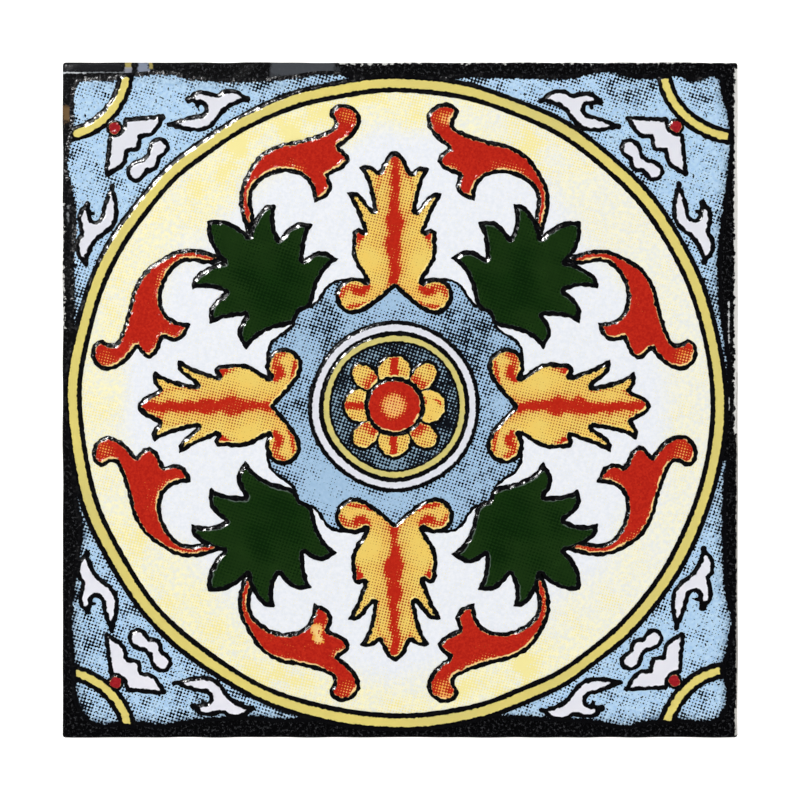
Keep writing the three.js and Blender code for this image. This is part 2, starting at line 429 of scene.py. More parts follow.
def makePiece(name, parts):
    # One object from placed parts, each with its height, tone, shade and material
    vertices = []
    faces = []
    materials = []
    slots = []
    values = {"edge": [], "tone": [], "shade": [], "facing": []}
    hidden = []
    for part in parts:
        first = len(vertices)
        x, y = part["points"].T
        vertices.extend(zip(x.tolist(), y.tolist(), part["z"].tolist()))
        if part["material"] not in materials:
            materials.append(part["material"])
        slot = materials.index(part["material"])
        triangles = part["triangles"]
        faces.extend((triangles + first).tolist())
        slots.extend([slot] * len(triangles))
        hidden.extend([False] * len(triangles))      # the face that is seen from above
        lengths = np.maximum(np.hypot(*part["away"].T), 1e-6)
        made = {
            "edge": part["edge"],
            "tone": np.clip(np.broadcast_to(part.get("tone", 0.0), x.shape), 0, 1.2),
            "shade": np.clip(np.broadcast_to(part.get("shade", 0.0), x.shape), 0, 1),
            "facing": towardsBareSide(part["away"]) / lengths,
        }
        # Walls from the rim down into the body, and a plain underside
        rim = outerEdges(triangles)
        ring = sorted({a for edge in rim for a in edge})
        below = {a: len(vertices) + k for k, a in enumerate(ring)}
        vertices.extend((x[a], y[a], heights["root"]) for a in ring)
        for a, b in rim:
            faces.append((a + first, below[a], below[b], b + first))
            slots.append(slot)
            hidden.append(True)
        for a, b, c in part["under"].tolist():
            faces.append((below[a], below[c], below[b]))
            slots.append(slot)
            hidden.append(True)
        for key, column in made.items():
            values[key].extend(column.tolist())
            values[key].extend(column[ring].tolist())
    mesh = bpy.data.meshes.new(name)
    mesh.from_pydata([(a * mm, b * mm, c * mm) for a, b, c in vertices], [], faces)
    for key, column in values.items():
        layer = mesh.attributes.new(key, "FLOAT", "POINT")
        layer.data.foreach_set("value", column)
    for material in materials:
        mesh.materials.append(material)
    mesh.polygons.foreach_set("material_index", slots)
    mesh.polygons.foreach_set("use_smooth", [True] * len(faces))
    layTopMap(mesh, hidden)
    mesh.set_sharp_from_angle(angle=math.radians(crease["glaze"]))
    mesh.validate()
    mesh.update()
    addPiece(name, mesh)


def layTopMap(mesh, hidden):
    # The face laid flat for baking, with the walls and underside in a strip above it
    layer = mesh.uv_layers.new(name="OFBake")
    count = len(mesh.vertices)
    flat = np.zeros(count * 3)
    mesh.vertices.foreach_get("co", flat)
    flat = flat.reshape(-1, 3)[:, :2]
    low = flat.min(0)
    span = flat.max(0) - low
    uv = (flat - low) / span
    loops = np.zeros(len(mesh.loops), int)
    mesh.loops.foreach_get("vertex_index", loops)
    totals = np.zeros(len(mesh.polygons), int)
    mesh.polygons.foreach_get("loop_total", totals)
    isHidden = np.repeat(np.array(hidden), totals)
    coords = uv[loops]
    coords[:, 1] = np.where(isHidden, 0.97 + 0.03 * coords[:, 1], 0.95 * coords[:, 1])
    layer.data.foreach_set("uv", coords.ravel())


# Materials. Every coloured glaze is laid by screen: a first colour over the whole pool,
# then dots of a second one, on a screen of 60 lines to the inch (0.4235 mm). Noise scales
# are per mm. A glaze's facts are its colours, how far it drifts, the screen over it, where
# its black line ends, and its roughness and orange peel.

def toLinear(hexColour):
    parts = [int(hexColour[k:k + 2], 16) / 255 for k in (1, 3, 5)]
    parts = [c / 12.92 if c <= 0.04045 else ((c + 0.055) / 1.055) ** 2.4 for c in parts]
    return (*parts, 1.0)


def addNode(tree, kind, inputs=None, out=0, **settings):
    # A node with its settings; an input may be a number, a colour or another output
    node = tree.nodes.new("ShaderNode" + kind)
    for key, value in settings.items():
        setattr(node, key, value)
    for key, value in (inputs or {}).items():
        if isinstance(value, bpy.types.NodeSocket):
            tree.links.new(value, node.inputs[key])
        else:
            node.inputs[key].default_value = value
    return node.outputs[out] if len(node.outputs) else node


def startGroup(name, vectors, numbers, result):
    # A node group that takes vectors and then numbers, and gives one number
    tree = bpy.data.node_groups.new(name, "ShaderNodeTree")
    for key in vectors:
        tree.interface.new_socket(key, in_out="INPUT", socket_type="NodeSocketVector")
    for key in numbers:
        tree.interface.new_socket(key, in_out="INPUT", socket_type="NodeSocketFloat")
    tree.interface.new_socket(result, in_out="OUTPUT", socket_type="NodeSocketFloat")
    given = tree.nodes.new("NodeGroupInput")
    return tree, given.outputs[:len(vectors) + len(numbers)]


def makeScreenGroup():
    # Halftone dots: where the coverage is low they are dots, half way a chequer, and
    # high a mesh with holes. A little dot gain makes them uneven.
    tree, (place, pitch, angle, coverage, gain) = startGroup(
        "halftoneScreen", ["Place"], ["Pitch", "Angle", "Coverage", "Gain"], "Dots"
    )
    uneven = addNode(tree, "TexNoise", {"Vector": place, "Scale": 1.5, "Detail": 2.0})
    uneven = addNode(tree, "MapRange", {0: uneven, 1: 0.3, 2: 0.7, 3: -1.0, 4: 1.0})
    coverage = addNode(tree, "Math", {0: uneven, 1: gain, 2: coverage}, operation="MULTIPLY_ADD")
    turned = addNode(tree, "VectorRotate", {"Vector": place, "Angle": angle}, rotation_type="Z_AXIS")
    per = addNode(tree, "Math", {0: 2 * math.pi, 1: pitch}, operation="DIVIDE")
    turned = addNode(tree, "VectorMath", {0: turned, "Scale": per}, operation="SCALE")
    split = tree.nodes.new("ShaderNodeSeparateXYZ")
    tree.links.new(turned, split.inputs[0])
    across = addNode(tree, "Math", {0: split.outputs[0]}, operation="COSINE")
    along = addNode(tree, "Math", {0: split.outputs[1]}, operation="COSINE")
    both = addNode(tree, "Math", {0: across, 1: along}, operation="ADD")
    wave = addNode(tree, "Math", {0: both, 1: 0.25, 2: 0.5}, operation="MULTIPLY_ADD")
    over = addNode(tree, "Math", {0: wave, 1: coverage}, operation="ADD")
    dots = addNode(tree, "MapRange", {0: over, 1: 0.93, 2: 1.07}, interpolation_type="SMOOTHSTEP")
    result = tree.nodes.new("NodeGroupOutput")
    tree.links.new(dots, result.inputs[0])
    return tree


halftoneScreen = makeScreenGroup()


def startMaterial(name):
    material = bpy.data.materials.new(name)
    material.use_nodes = True
    tree = material.node_tree
    tree.nodes.clear()
    output = tree.nodes.new("ShaderNodeOutputMaterial")
    shader = tree.nodes.new("ShaderNodeBsdfPrincipled")
    tree.links.new(shader.outputs[0], output.inputs[0])
    where = addNode(tree, "TexCoord", out=3)
    place = addNode(tree, "VectorMath", {0: where, "Scale": 1 / mm}, operation="SCALE")
    return material, tree, shader, place


def screenedGlaze(name, facts):
    # A pool of glaze inside its black line. The line is manganese oxide in grease, fired
    # nearly matt; the pool is glass, level in the middle and rounded at its shoulder.
    material, tree, shader, place = startMaterial(name)
    edge, tone, shade, facing = (
        addNode(tree, "Attribute", attribute_name=key, out=2)
        for key in ("edge", "tone", "shade", "facing")
    )

    # Glaze lies unevenly, in drifts about 1.5 mm across and grains of 0.15 mm
    drift = addNode(
        tree, "TexNoise", {"Vector": place, "Scale": facts.get("perMm", 0.6), "Detail": 3.0},
    )
    grain = addNode(tree, "TexNoise", {"Vector": place, "Scale": 3.2, "Detail": 2.0})
    under = addNode(
        tree, "Mix", {0: shade, 6: toLinear(facts["glaze"]), 7: toLinear(facts["tint"])},
        data_type="RGBA", out=2,
    )
    cloudy = addNode(tree, "MapRange", {0: drift, 1: 0.35, 2: 0.65, 3: 0.0, 4: facts.get("drift", 0.3)})
    under = addNode(
        tree, "Mix", {0: cloudy, 6: under, 7: toLinear(facts["thin"])}, data_type="RGBA", out=2,
    )
    colour = under
    if "screen" in facts:
        coverage = tone
        if "blotchy" in facts:
            # The ink lies thick in ragged blotches
            thick = addNode(tree, "TexNoise", {"Vector": place, "Scale": 0.33, "Detail": 4.0})
            thick = addNode(
                tree, "MapRange", {0: thick, 1: 0.38, 2: 0.66, 3: 0.4, 4: facts["blotchy"]}
            )
            coverage = addNode(tree, "Math", {0: tone, 1: thick}, operation="MULTIPLY")
        if "patchy" in facts:
            # The screen's ink took in some places and not in others
            taken = addNode(tree, "TexNoise", {"Vector": place, "Scale": 0.5, "Detail": 3.0})
            taken = addNode(
                tree, "MapRange", {0: taken, 1: 0.32, 2: 0.68, 3: -facts["patchy"], 4: facts["patchy"]}
            )
            coverage = addNode(tree, "Math", {0: tone, 1: taken}, operation="ADD")
        dots = addNode(
            tree, "Group", {
                "Place": place, "Pitch": facts["pitch"], "Angle": math.radians(facts["angle"]),
                "Coverage": coverage, "Gain": facts.get("gain", 0.1),
            }, node_tree=halftoneScreen,
        )
        screened = toLinear(facts["screen"])
        if "screenThin" in facts:
            deep = addNode(tree, "MapRange", {0: grain, 1: 0.35, 2: 0.65})
            screened = addNode(
                tree, "Mix", {0: deep, 6: screened, 7: toLinear(facts["screenThin"])},
                data_type="RGBA", out=2,
            )
        if "dot" in facts:
            # Small dots sink into the wet glaze and brown, where solid print stays clean
            solid = addNode(tree, "MapRange", {0: coverage, 1: 0.32, 2: 0.55})
            screened = addNode(
                tree, "Mix", {0: solid, 6: toLinear(facts["dot"]), 7: screened}, data_type="RGBA", out=2
            )
        colour = addNode(tree, "Mix", {0: dots, 6: under, 7: screened}, data_type="RGBA", out=2)
    if "specks" in facts:
        # Stray bits of the black
        stray = addNode(tree, "TexNoise", {"Vector": place, "Scale": 2.2, "Detail": 1.0})
        stray = addNode(tree, "MapRange", {0: stray, 1: facts["specks"], 2: facts["specks"] + 0.03})
        colour = addNode(
            tree, "Mix", {0: stray, 6: colour, 7: toLinear(facts["screen"])}, data_type="RGBA", out=2
        )
    if "bareRimAndHighlightColour" in facts:
        # The screen sits a little to one side, so bare glaze shows along the edges that face away. In
        # the green the rim faces the other way and is a painted highlight instead
        low, high = facts.get("rimFacing", (0.25, 0.8))
        facingShare = addNode(tree, "MapRange", {0: facing, 1: low, 2: high, 3: 0.0, 4: facts["rimWidth"]})
        broken = addNode(tree, "TexNoise", {"Vector": place, "Scale": 0.45, "Detail": 2.0})
        broken = addNode(tree, "MapRange", {0: broken, 1: 0.42, 2: 0.52})
        facingShare = addNode(tree, "Math", {0: facingShare, 1: broken}, operation="MULTIPLY")
        reach = addNode(tree, "Math", {0: facingShare, 1: facts["line"]}, operation="ADD")
        inside = addNode(tree, "Math", {0: reach, 1: edge}, operation="SUBTRACT")
        rim = addNode(tree, "MapRange", {0: inside, 1: -0.05, 2: 0.06})
        colour = addNode(
            tree, "Mix", {0: rim, 6: colour, 7: toLinear(facts["bareRimAndHighlightColour"])}, data_type="RGBA", out=2
        )

    # The black line ends raggedly where the pool has crept over it
    creep = addNode(tree, "TexNoise", {"Vector": place, "Scale": 2.3, "Detail": 3.0})
    creep = addNode(
        tree, "MapRange", {0: creep, 1: 0.3, 2: 0.7, 3: -facts["ragged"], 4: facts["ragged"]},
    )
    crept = addNode(tree, "Math", {0: edge, 1: creep}, operation="ADD")
    glazed = addNode(
        tree, "MapRange", {0: crept, 1: facts["line"] - 0.05, 2: facts["line"] + 0.05},
        interpolation_type="SMOOTHSTEP",
    )
    colour = addNode(
        tree, "Mix", {0: glazed, 6: toLinear("#0a0a0c"), 7: colour}, data_type="RGBA", out=2
    )
    tree.links.new(colour, shader.inputs["Base Color"])
    wet = addNode(
        tree, "MapRange",
        {0: crept, 1: facts["line"] - 0.36, 2: facts["line"] - 0.22, 3: 0.2, 4: facts["roughness"]},
    )
    tree.links.new(wet, shader.inputs["Roughness"])
    if facts["line"] > 0:
        # The dry line shines only in scattered glints, and the pool fully past its shoulder
        glint = addNode(tree, "TexNoise", {"Vector": place, "Scale": 1.1, "Detail": 3.0})
        glint = addNode(
            tree, "MapRange", {0: glint, 1: 0.51, 2: 0.56, 3: 0.06, 4: facts.get("glint", 0.9)},
        )
        past = addNode(tree, "MapRange", {0: edge, 1: 0.82, 2: 1.0})
        gloss = addNode(tree, "Mix", {0: past, 2: glint, 3: 0.5})
        tree.links.new(gloss, shader.inputs["Specular IOR Level"])
    shader.inputs["IOR"].default_value = 1.58

    # Orange peel and grit in the fired surface
    peel = addNode(tree, "TexNoise", {"Vector": place, "Scale": facts["peel"], "Detail": 2.0})
    grit = addNode(tree, "TexNoise", {"Vector": place, "Scale": 2.6, "Detail": 2.0})
    nearLine = addNode(tree, "MapRange", {0: edge, 1: 0.8, 2: 1.2, 3: facts.get("grit", 1.8), 4: 0.0})
    peel = addNode(tree, "Math", {0: grit, 1: nearLine, 2: peel}, operation="MULTIPLY_ADD")
    bump = addNode(
        tree, "Bump", {"Strength": 1.0, "Distance": facts["peelDepth"] * mm, "Height": peel}
    )
    tree.links.new(bump, shader.inputs["Normal"])
    return material


# Screens, by pitch in mm and angle in degrees
fineScreen = {"pitch": 0.4235, "angle": 14.0}
coarseScreen = {"pitch": 0.488, "angle": 18.4}
blackScreen = {**coarseScreen, "screen": "#0f1218", "gain": 0.2}

# Tin-white glaze: opaque, bluish and pebbly, with a cream print over part of it
tinWhiteGlaze = screenedGlaze("tinWhiteGlaze", {
    **fineScreen, "screen": "#f5e99f", "blotchy": 2.1,
    "glaze": "#f0f2f7", "tint": "#fbf5c6", "thin": "#e2e7ef", "drift": 0.6, "perMm": 2.1,
    "line": 0.0, "ragged": 0.0, "roughness": 0.16, "peel": 1.6, "peelDepth": 0.045,
})
# Tin-white without print, greyer and pinker over the blue's grease, for the corner motifs
tinLilacGlaze = screenedGlaze("tinLilacGlaze", {
    "glaze": "#ebeaf1", "tint": "#dddee5", "thin": "#dfe0ea", "drift": 0.5,
    "line": lineEdge, "ragged": 0.06, "roughness": 0.1, "peel": 1.2, "peelDepth": 0.02,
})
# Cobalt-blue glaze, thin and milky, under a black screen
cobaltBlueGlaze = screenedGlaze("cobaltBlueGlaze", {
    **blackScreen, "patchy": 0.26, "specks": 0.665,
    "glaze": "#a6c9ea", "tint": "#4d6075", "thin": "#c3def2", "drift": 0.85, "perMm": 1.9,
    "line": lineEdge, "ragged": 0.22, "glint": 0.55, "roughness": 0.13, "peel": 1.4, "peelDepth": 0.035,
})
# The same round the rosette, where the print is finer edged
fieldBlueGlaze = screenedGlaze("fieldBlueGlaze", {
    **blackScreen, "patchy": 0.17,
    "glaze": "#9dbdda", "tint": "#86a8ca", "thin": "#abc8e2", "drift": 0.75, "perMm": 1.8,
    "line": 0.47, "ragged": 0.07, "roughness": 0.13, "peel": 1.4, "peelDepth": 0.035,
})
# The rosette's disc, where the black all but covers the blue
discBlueGlaze = screenedGlaze("discBlueGlaze", {
    **blackScreen, "patchy": 0.16,
    "glaze": "#a5c2d6", "tint": "#5f7688", "thin": "#86a3b8", "drift": 0.8, "perMm": 0.5,
    "line": 0.5, "ragged": 0.05, "roughness": 0.13, "peel": 1.4, "peelDepth": 0.035,
})
# Copper-green glaze, thick enough to look nearly black, with a painted highlight: a thin grey line
# inside its upper-left edges
copperGreenGlaze = screenedGlaze("copperGreenGlaze", {
    **coarseScreen, "screen": "#0c230a",
    "glaze": "#14300e", "tint": "#1c3513", "thin": "#182e11", "drift": 0.5,
    "line": lineEdge, "ragged": 0.07, "roughness": 0.09, "peel": 0.9, "peelDepth": 0.02,
    # painted highlight along the edges that face the upper left
    "bareRimAndHighlightColour": "#56645a", "rimWidth": 0.13, "rimFacing": (-0.1, -0.6),
})
# Selenium-red glaze screened over orange, which shows where the screen is open
redFacts = {
    **fineScreen, "glaze": "#eda447", "tint": "#f6dc92", "thin": "#e58f35", "drift": 0.4,
    "screen": "#c22b1b", "screenThin": "#ad2016", "line": 0.64, "ragged": 0.1,
    "bareRimAndHighlightColour": "#f3cf8c", "rimWidth": 0.24, "roughness": 0.08, "peel": 1.6, "peelDepth": 0.05,
}
seleniumRedGlaze = screenedGlaze("seleniumRedGlaze", redFacts)
# The same, thicker and deeper, in the small beads
beadRedGlaze = screenedGlaze("beadRedGlaze", {
    **redFacts, "screen": "#a8242a", "screenThin": "#8e1b21", "rimWidth": 0.0,
})
# Amber glaze of iron and antimony with a brown-red screen
amberGlaze = screenedGlaze("amberGlaze", {
    **fineScreen, "glaze": "#efcc66", "tint": "#eeb85a", "thin": "#ebd070", "drift": 0.6,
    "screen": "#c02a19", "screenThin": "#b32416", "dot": "#a04c1e", "line": lineEdge, "ragged": 0.1,
    "bareRimAndHighlightColour": "#f5dc8c", "rimWidth": 0.22, "roughness": 0.09, "peel": 1.0, "peelDepth": 0.02,
})
# Antimony-yellow glaze of the rings
antimonyYellowGlaze = screenedGlaze("antimonyYellowGlaze", {
    "glaze": "#e3d376", "tint": "#c9bf7a", "thin": "#d9c970", "drift": 0.6,
    "line": lineEdge, "ragged": 0.06, "roughness": 0.09, "peel": 1.0, "peelDepth": 0.015,
})


def makePatchGroup():
    # 1 inside a patch given by its middle and half size in mm, with a ragged edge
    tree, (place, middle, half, soft, ragged) = startGroup(
        "raggedPatch", ["Place", "Middle", "Half"], ["Soft", "Ragged"], "Inside"
    )
    away = addNode(tree, "VectorMath", {0: place, 1: middle}, operation="SUBTRACT")
    away = addNode(tree, "VectorMath", {0: away}, operation="ABSOLUTE")
    away = addNode(tree, "VectorMath", {0: away, 1: half}, operation="SUBTRACT")
    split = tree.nodes.new("ShaderNodeSeparateXYZ")
    tree.links.new(away, split.inputs[0])
    far = addNode(tree, "Math", {0: split.outputs[0], 1: split.outputs[1]}, operation="MAXIMUM")
    torn = addNode(tree, "TexNoise", {"Vector": place, "Scale": 1.3, "Detail": 4.0, "Roughness": 0.6})
    torn = addNode(tree, "MapRange", {0: torn, 1: 0.3, 2: 0.7, 3: -1.0, 4: 1.0})
    far = addNode(tree, "Math", {0: torn, 1: ragged, 2: far}, operation="MULTIPLY_ADD")
    inside = addNode(tree, "MapRange", {0: far, 1: soft, 2: 0.0})
    result = tree.nodes.new("NodeGroupOutput")
    tree.links.new(inside, result.inputs[0])
    return tree


raggedPatch = makePatchGroup()

# Wear, print remnants and painted sheen on the black border: middle, half size, softness and raggedness
# in mm, colour, strength
borderWearAndSheen = [
    ((-46, 49.4), (4.6, 0.5), 0.5, 0.3, "#1b1c1f", 0.8),      # painted sheen: the black lighter grey along the top
    ((-14.3, 49), (4.4, 0.9), 0.8, 0.5, "#4a4d52", 0.8),
    ((-48.3, 48.4), (1.8, 0.06), 0.08, 0.12, "#c9ccd0", 0.9),      # a thin light line along the top left
    ((-43.5, 48.45), (3.2, 0.02), 0.08, 0.1, "#84888c", 0.8),
    ((-40.2, 49.5), (0.42, 0.36), 0.15, 0.15, "#ab9d5a", 0.9),      # ring and blue run out to the edge
    ((-40.2, 48.8), (0.42, 0.3), 0.2, 0.2, "#9496a0", 0.85),
    ((-37.95, 49.2), (0.7, 0.66), 0.2, 0.3, "#8a93a5", 0.85),
    ((-36.9, 49.5), (0.16, 0.36), 0.15, 0.15, "#ab9d5a", 0.85),
    ((-49.35, 42.3), (0.3, 0.9), 0.5, 0.35, "#6e5433", 0.9),      # worn to the buff body
    ((49.85, 22), (0.38, 27), 0.12, 0.3, "#d8d7d3", 0.9),      # thin glaze on the right arris
    ((49.95, -22), (0.2, 26), 0.1, 0.2, "#a09d98", 0.8),
    ((49.8, -47.6), (0.25, 1.9), 0.15, 0.2, "#c4c2bd", 0.8),
    ((48.6, 6.5), (0.02, 8), 0.1, 0.2, "#c6c8ca", 0.9),      # crawled glaze
    ((-3, 49.9), (6, 0.1), 0.1, 0.55, "#d9d9d6", 0.9),      # nicks at the top
    ((24, 50), (26, 0.04), 0.1, 0.5, "#c9c9c6", 0.9),
    ((-49.9, 20), (0.02, 9), 0.1, 0.5, "#c9c9c6", 0.9),
    ((-49.1, 27.5), (0.05, 1), 0.15, 0.4, "#a9acb0", 0.5),
]


def blackFaceGlaze(name):
    # Manganese-black glaze of the border: satin, gritty, with kiln specks, rubbed places and patches of
    # painted sheen
    material, tree, shader, place = startMaterial(name)
    fine = addNode(tree, "TexNoise", {"Vector": place, "Scale": 2.2, "Detail": 4.0, "Roughness": 0.75})
    specks = addNode(tree, "MapRange", {0: fine, 1: 0.54, 2: 0.72, 3: 0.0, 4: 0.5})
    colour = addNode(
        tree, "Mix", {0: specks, 6: toLinear("#050506"), 7: toLinear("#626367")},
        data_type="RGBA", out=2,
    )
    # wear, print remnants and painted sheen laid over the black
    for middle, half, soft, ragged, patchColour, strength in borderWearAndSheen:
        inside = addNode(
            tree, "Group", {
                "Place": place, "Middle": (*middle, 0), "Half": (*half, 0),
                "Soft": soft, "Ragged": ragged,
            }, node_tree=raggedPatch,
        )
        inside = addNode(tree, "Math", {0: inside, 1: strength}, operation="MULTIPLY")
        colour = addNode(
            tree, "Mix", {0: inside, 6: colour, 7: toLinear(patchColour)}, data_type="RGBA", out=2,
        )
    tree.links.new(colour, shader.inputs["Base Color"])
    shader.inputs["Roughness"].default_value = 0.22
    shader.inputs["Specular IOR Level"].default_value = 0.2
    grit = addNode(tree, "TexNoise", {"Vector": place, "Scale": 1.8, "Detail": 4.0})
    bump = addNode(tree, "Bump", {"Strength": 1.0, "Distance": 0.022 * mm, "Height": grit})
    tree.links.new(bump, shader.inputs["Normal"])
    return material


def buffBisque(name):
    # Dust-pressed earthenware fired to bisque: dry, buff and finely pitted
    material, tree, shader, place = startMaterial(name)
    cloud = addNode(tree, "TexNoise", {"Vector": place, "Scale": 0.12, "Detail": 4.0})
    colour = addNode(
        tree, "Mix", {0: cloud, 6: toLinear("#d9cbb2"), 7: toLinear("#c9b595")}, data_type="RGBA", out=2
    )
    tree.links.new(colour, shader.inputs["Base Color"])
    shader.inputs["Roughness"].default_value = 0.85
    grit = addNode(tree, "TexNoise", {"Vector": place, "Scale": 3.0, "Detail": 5.0})
    bump = addNode(tree, "Bump", {"Strength": 1.0, "Distance": 0.06 * mm, "Height": grit})
    tree.links.new(bump, shader.inputs["Normal"])
    return material


manganeseBlackGlaze = blackFaceGlaze("manganeseBlackGlaze")
earthenwareBisque = buffBisque("earthenwareBisque")
print("glazes mixed")


# The pressed body, in mm: its edge is given by inset and height, and its back has
# grooves across it on both sides of the middle, which hold the adhesive
pressedBody = {
    "half": 50.0,
    "corner": 0.45,
    "profile": [
        (0.5, 0), (0.16, 0.16), (0, 0.5), (0, 7.3), (0.06, 7.52), (0.19, 7.65),
        (0.42, heights["face"]),
    ],
    "bareRows": 3,      # rows of the profile that the black glaze leaves bare
    "sideSteps": 100,
    "grooveHalfLength": 44,
    "grooveHalfWidth": 1.6,
    "groovePlaces": (5, 15, 25, 35),
    "grooveDepth": 0.6,
    "grooveSlope": 0.4,
}


def edgeLoop(inset, z):
    # One level of the body's edge, with rounded corners
    radius = pressedBody["corner"]
    half = pressedBody["half"] - inset
    straight = half - radius
    side = [(half, t * straight) for t in np.linspace(-1, 1, pressedBody["sideSteps"], endpoint=False)]
    side += [
        (straight + radius * math.cos(a), straight + radius * math.sin(a))
        for a in np.linspace(0, math.pi / 2, 6, endpoint=False)
    ]
    loop = []
    for turn in range(4):
        cos, sin = quarterTurn(turn)
        loop += [(x * cos - y * sin, x * sin + y * cos) for x, y in side]
    loop = np.array(loop)
    # Pressing and glazing leave the arris a little uneven, always inward
    away = loop / np.abs(loop).max(1)[:, None]
    uneven = 0.05 + 0.05 * ripple(loop[:, 0], loop[:, 1] + z, 4, 51)
    loop = loop - away * np.clip(uneven, 0, 0.1)[:, None] * (1 if z > 7 else 0.3)
    return [(x, y, z) for x, y in loop]


def grooveOutline(place, inset):
    # A slot with round ends, at its place up or down from the middle
    radius = pressedBody["grooveHalfWidth"] - inset
    reach = pressedBody["grooveHalfLength"] - pressedBody["grooveHalfWidth"]
    return [
        (end * (reach + radius * math.cos(a)), place + end * radius * math.sin(a))
        for end in (1, -1)
        for a in np.linspace(-math.pi / 2, math.pi / 2, 9)
    ]


def makeBody():
    rows = len(pressedBody["profile"])
    vertices = []
    for inset, z in pressedBody["profile"]:
        vertices.extend(edgeLoop(inset, z))
    count = len(vertices) // rows
    faces = []
    slots = []
    for k in range(rows - 1):
        for i in range(count):
            j = (i + 1) % count
            faces.append((k * count + i, k * count + j, (k + 1) * count + j, (k + 1) * count + i))
            slots.append(0 if k < pressedBody["bareRows"] else 1)

    # The face, and the back with its grooves cut in
    grooves = [
        (sign * place, inset, depth)
        for place in pressedBody["groovePlaces"]
        for sign in (-1, 1)
        for inset, depth in ((0, 0.0), (pressedBody["grooveSlope"], pressedBody["grooveDepth"]))
    ]
    for isFace in (True, False):
        start = (rows - 1) * count if isFace else 0
        ring = list(range(start, start + count))
        points = [vertices[a][:2] for a in ring]
        edges = [(i, (i + 1) % count) for i in range(count)]
        depths = [0.0] * count
        for place, inset, depth in [] if isFace else grooves:
            slot = grooveOutline(place, inset)
            first = len(points)
            points += slot
            depths += [depth] * len(slot)
            edges += [(first + i, first + (i + 1) % len(slot)) for i in range(len(slot))]
        made = delaunay_2d_cdt([tuple(p) for p in points], edges, [], 0, 1e-6, True)
        same = {}
        for k, (at, came) in enumerate(zip(made[0], made[3])):
            if came and came[0] < count:
                same[k] = ring[came[0]]
            else:
                same[k] = len(vertices)
                vertices.append((at[0], at[1], depths[came[0]] if came else 0.0))
        for a, b, c in made[2]:
            middle = (made[0][a] + made[0][b] + made[0][c]) / 3
            if max(abs(middle[0]), abs(middle[1])) > edgeLimit:
                continue
            faces.append((same[a], same[b], same[c]) if isFace else (same[a], same[c], same[b]))
            slots.append(1 if isFace else 0)
    mesh = bpy.data.meshes.new("tileBody")
    mesh.from_pydata([(a * mm, b * mm, c * mm) for a, b, c in vertices], [], faces)
    mesh.materials.append(earthenwareBisque)
    mesh.materials.append(manganeseBlackGlaze)
    mesh.polygons.foreach_set("material_index", slots)
    mesh.polygons.foreach_set("use_smooth", [True] * len(faces))
    mesh.set_sharp_from_angle(angle=math.radians(crease["body"]))
    mesh.validate()
    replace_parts(addPiece("tileBody", mesh), "tile")


makeBody()
print("body pressed")

# White ground inside the outer ring, printed cream outside the leaves and scrolls, and
# deeper in places, as x, y, radius and amount
whiteGround = {
    "reach": 47.2,
    "creamFrom": 37.8,
    "cream": 0.2,
    "deep": [
        (-22, 38, 7, 0.45), (-30, 29, 5, 0.12), (-13, 42, 6, 0.35), (-4, 45, 4, 0.3),
        (20, 39, 5, 0.4), (25, 36, 4, 0.15), (18, -40.5, 4.5, 0.4), (26, -35, 5, 0.1),
        (-40, -22, 6, 0.1), (-25, -38, 6, 0.12), (-43, 14, 5, 0.12), (-15, -42, 6, 0.12),
    ],
}


def makeGround():
    radii = np.concatenate([np.linspace(whiteGround["reach"], 30, 44), np.linspace(29, 0, 12)])
    part = turnedPart(radii.tolist(), [5.0] * len(radii), 240)
    part = setPart(part, warp=False, **printPlace["ring"])
    x, y = part["points"].T
    middleX, middleY = printPlace["medallion"]["shift"]
    u = x - middleX
    v = y - middleY
    reach = np.hypot(u, v)
    angle = np.arctan2(v, u)
    start = whiteGround["creamFrom"] + 1.2 * np.cos(4 * angle) + 0.8 * ripple(x, y, 6, 61)
    # The print is faint towards the right
    faint = 0.36 * ramp(np.cos(angle - 0.2), 0.2, 0.7)
    cream = ramp(reach, start - 1.4, start + 4.6) * (1 - faint)
    tone = whiteGround["cream"] + 0.12 * ripple(x, y, 3, 62)
    tone = addSpots(tone, x, y, whiteGround["deep"])
    part["tone"] = cream * np.clip(tone, 0, 0.85)
    part["shade"] = cream * (0.95 + 0.15 * ripple(x, y, 4, 63))
    part["z"] = np.full(len(x), heights["ground"])
    part["material"] = tinWhiteGlaze
    makePiece("groundGlaze", [part])


# Yellow ring round the medallion: radii from the outside in, with the distance from its
# foot at each
outerRing = {
    "radii": [
        49.1, 48.8, 48.68, 48.58, 48.48, 48.4, 48.2, 47.9,
        47.6, 47.3, 47.1, 47.0, 46.92, 46.82, 46.7, 46.38,
    ],
    "edges": [
        0, 0.25, 0.36, 0.46, 0.56, 0.66, 0.86, 1.1,
        1.1, 0.86, 0.66, 0.56, 0.46, 0.36, 0.25, 0,
    ],
    "covers": 47.85,      # the spandrels' blue runs in under the ring as far as this
}


def makeOuterRing():
    part = turnedPart(outerRing["radii"], outerRing["edges"], 560)
    radius = np.hypot(*part["points"].T)
    part = setPart(part, waver=0.6, **printPlace["ring"])
    part["z"] = poolHeight(part, lift=0.45 + 0.55 * ramp(radius, 47, 47.9))
    x, y = part["points"].T
    part["shade"] = 0.25 + 0.25 * ripple(x, y, 9, 64)
    part["material"] = antimonyYellowGlaze
    # Clear of the tile's edge, where the ring comes nearest to it
    part["points"] = np.clip(part["points"], -edgeLimit, edgeLimit)
    makePiece("outerRing", [part])


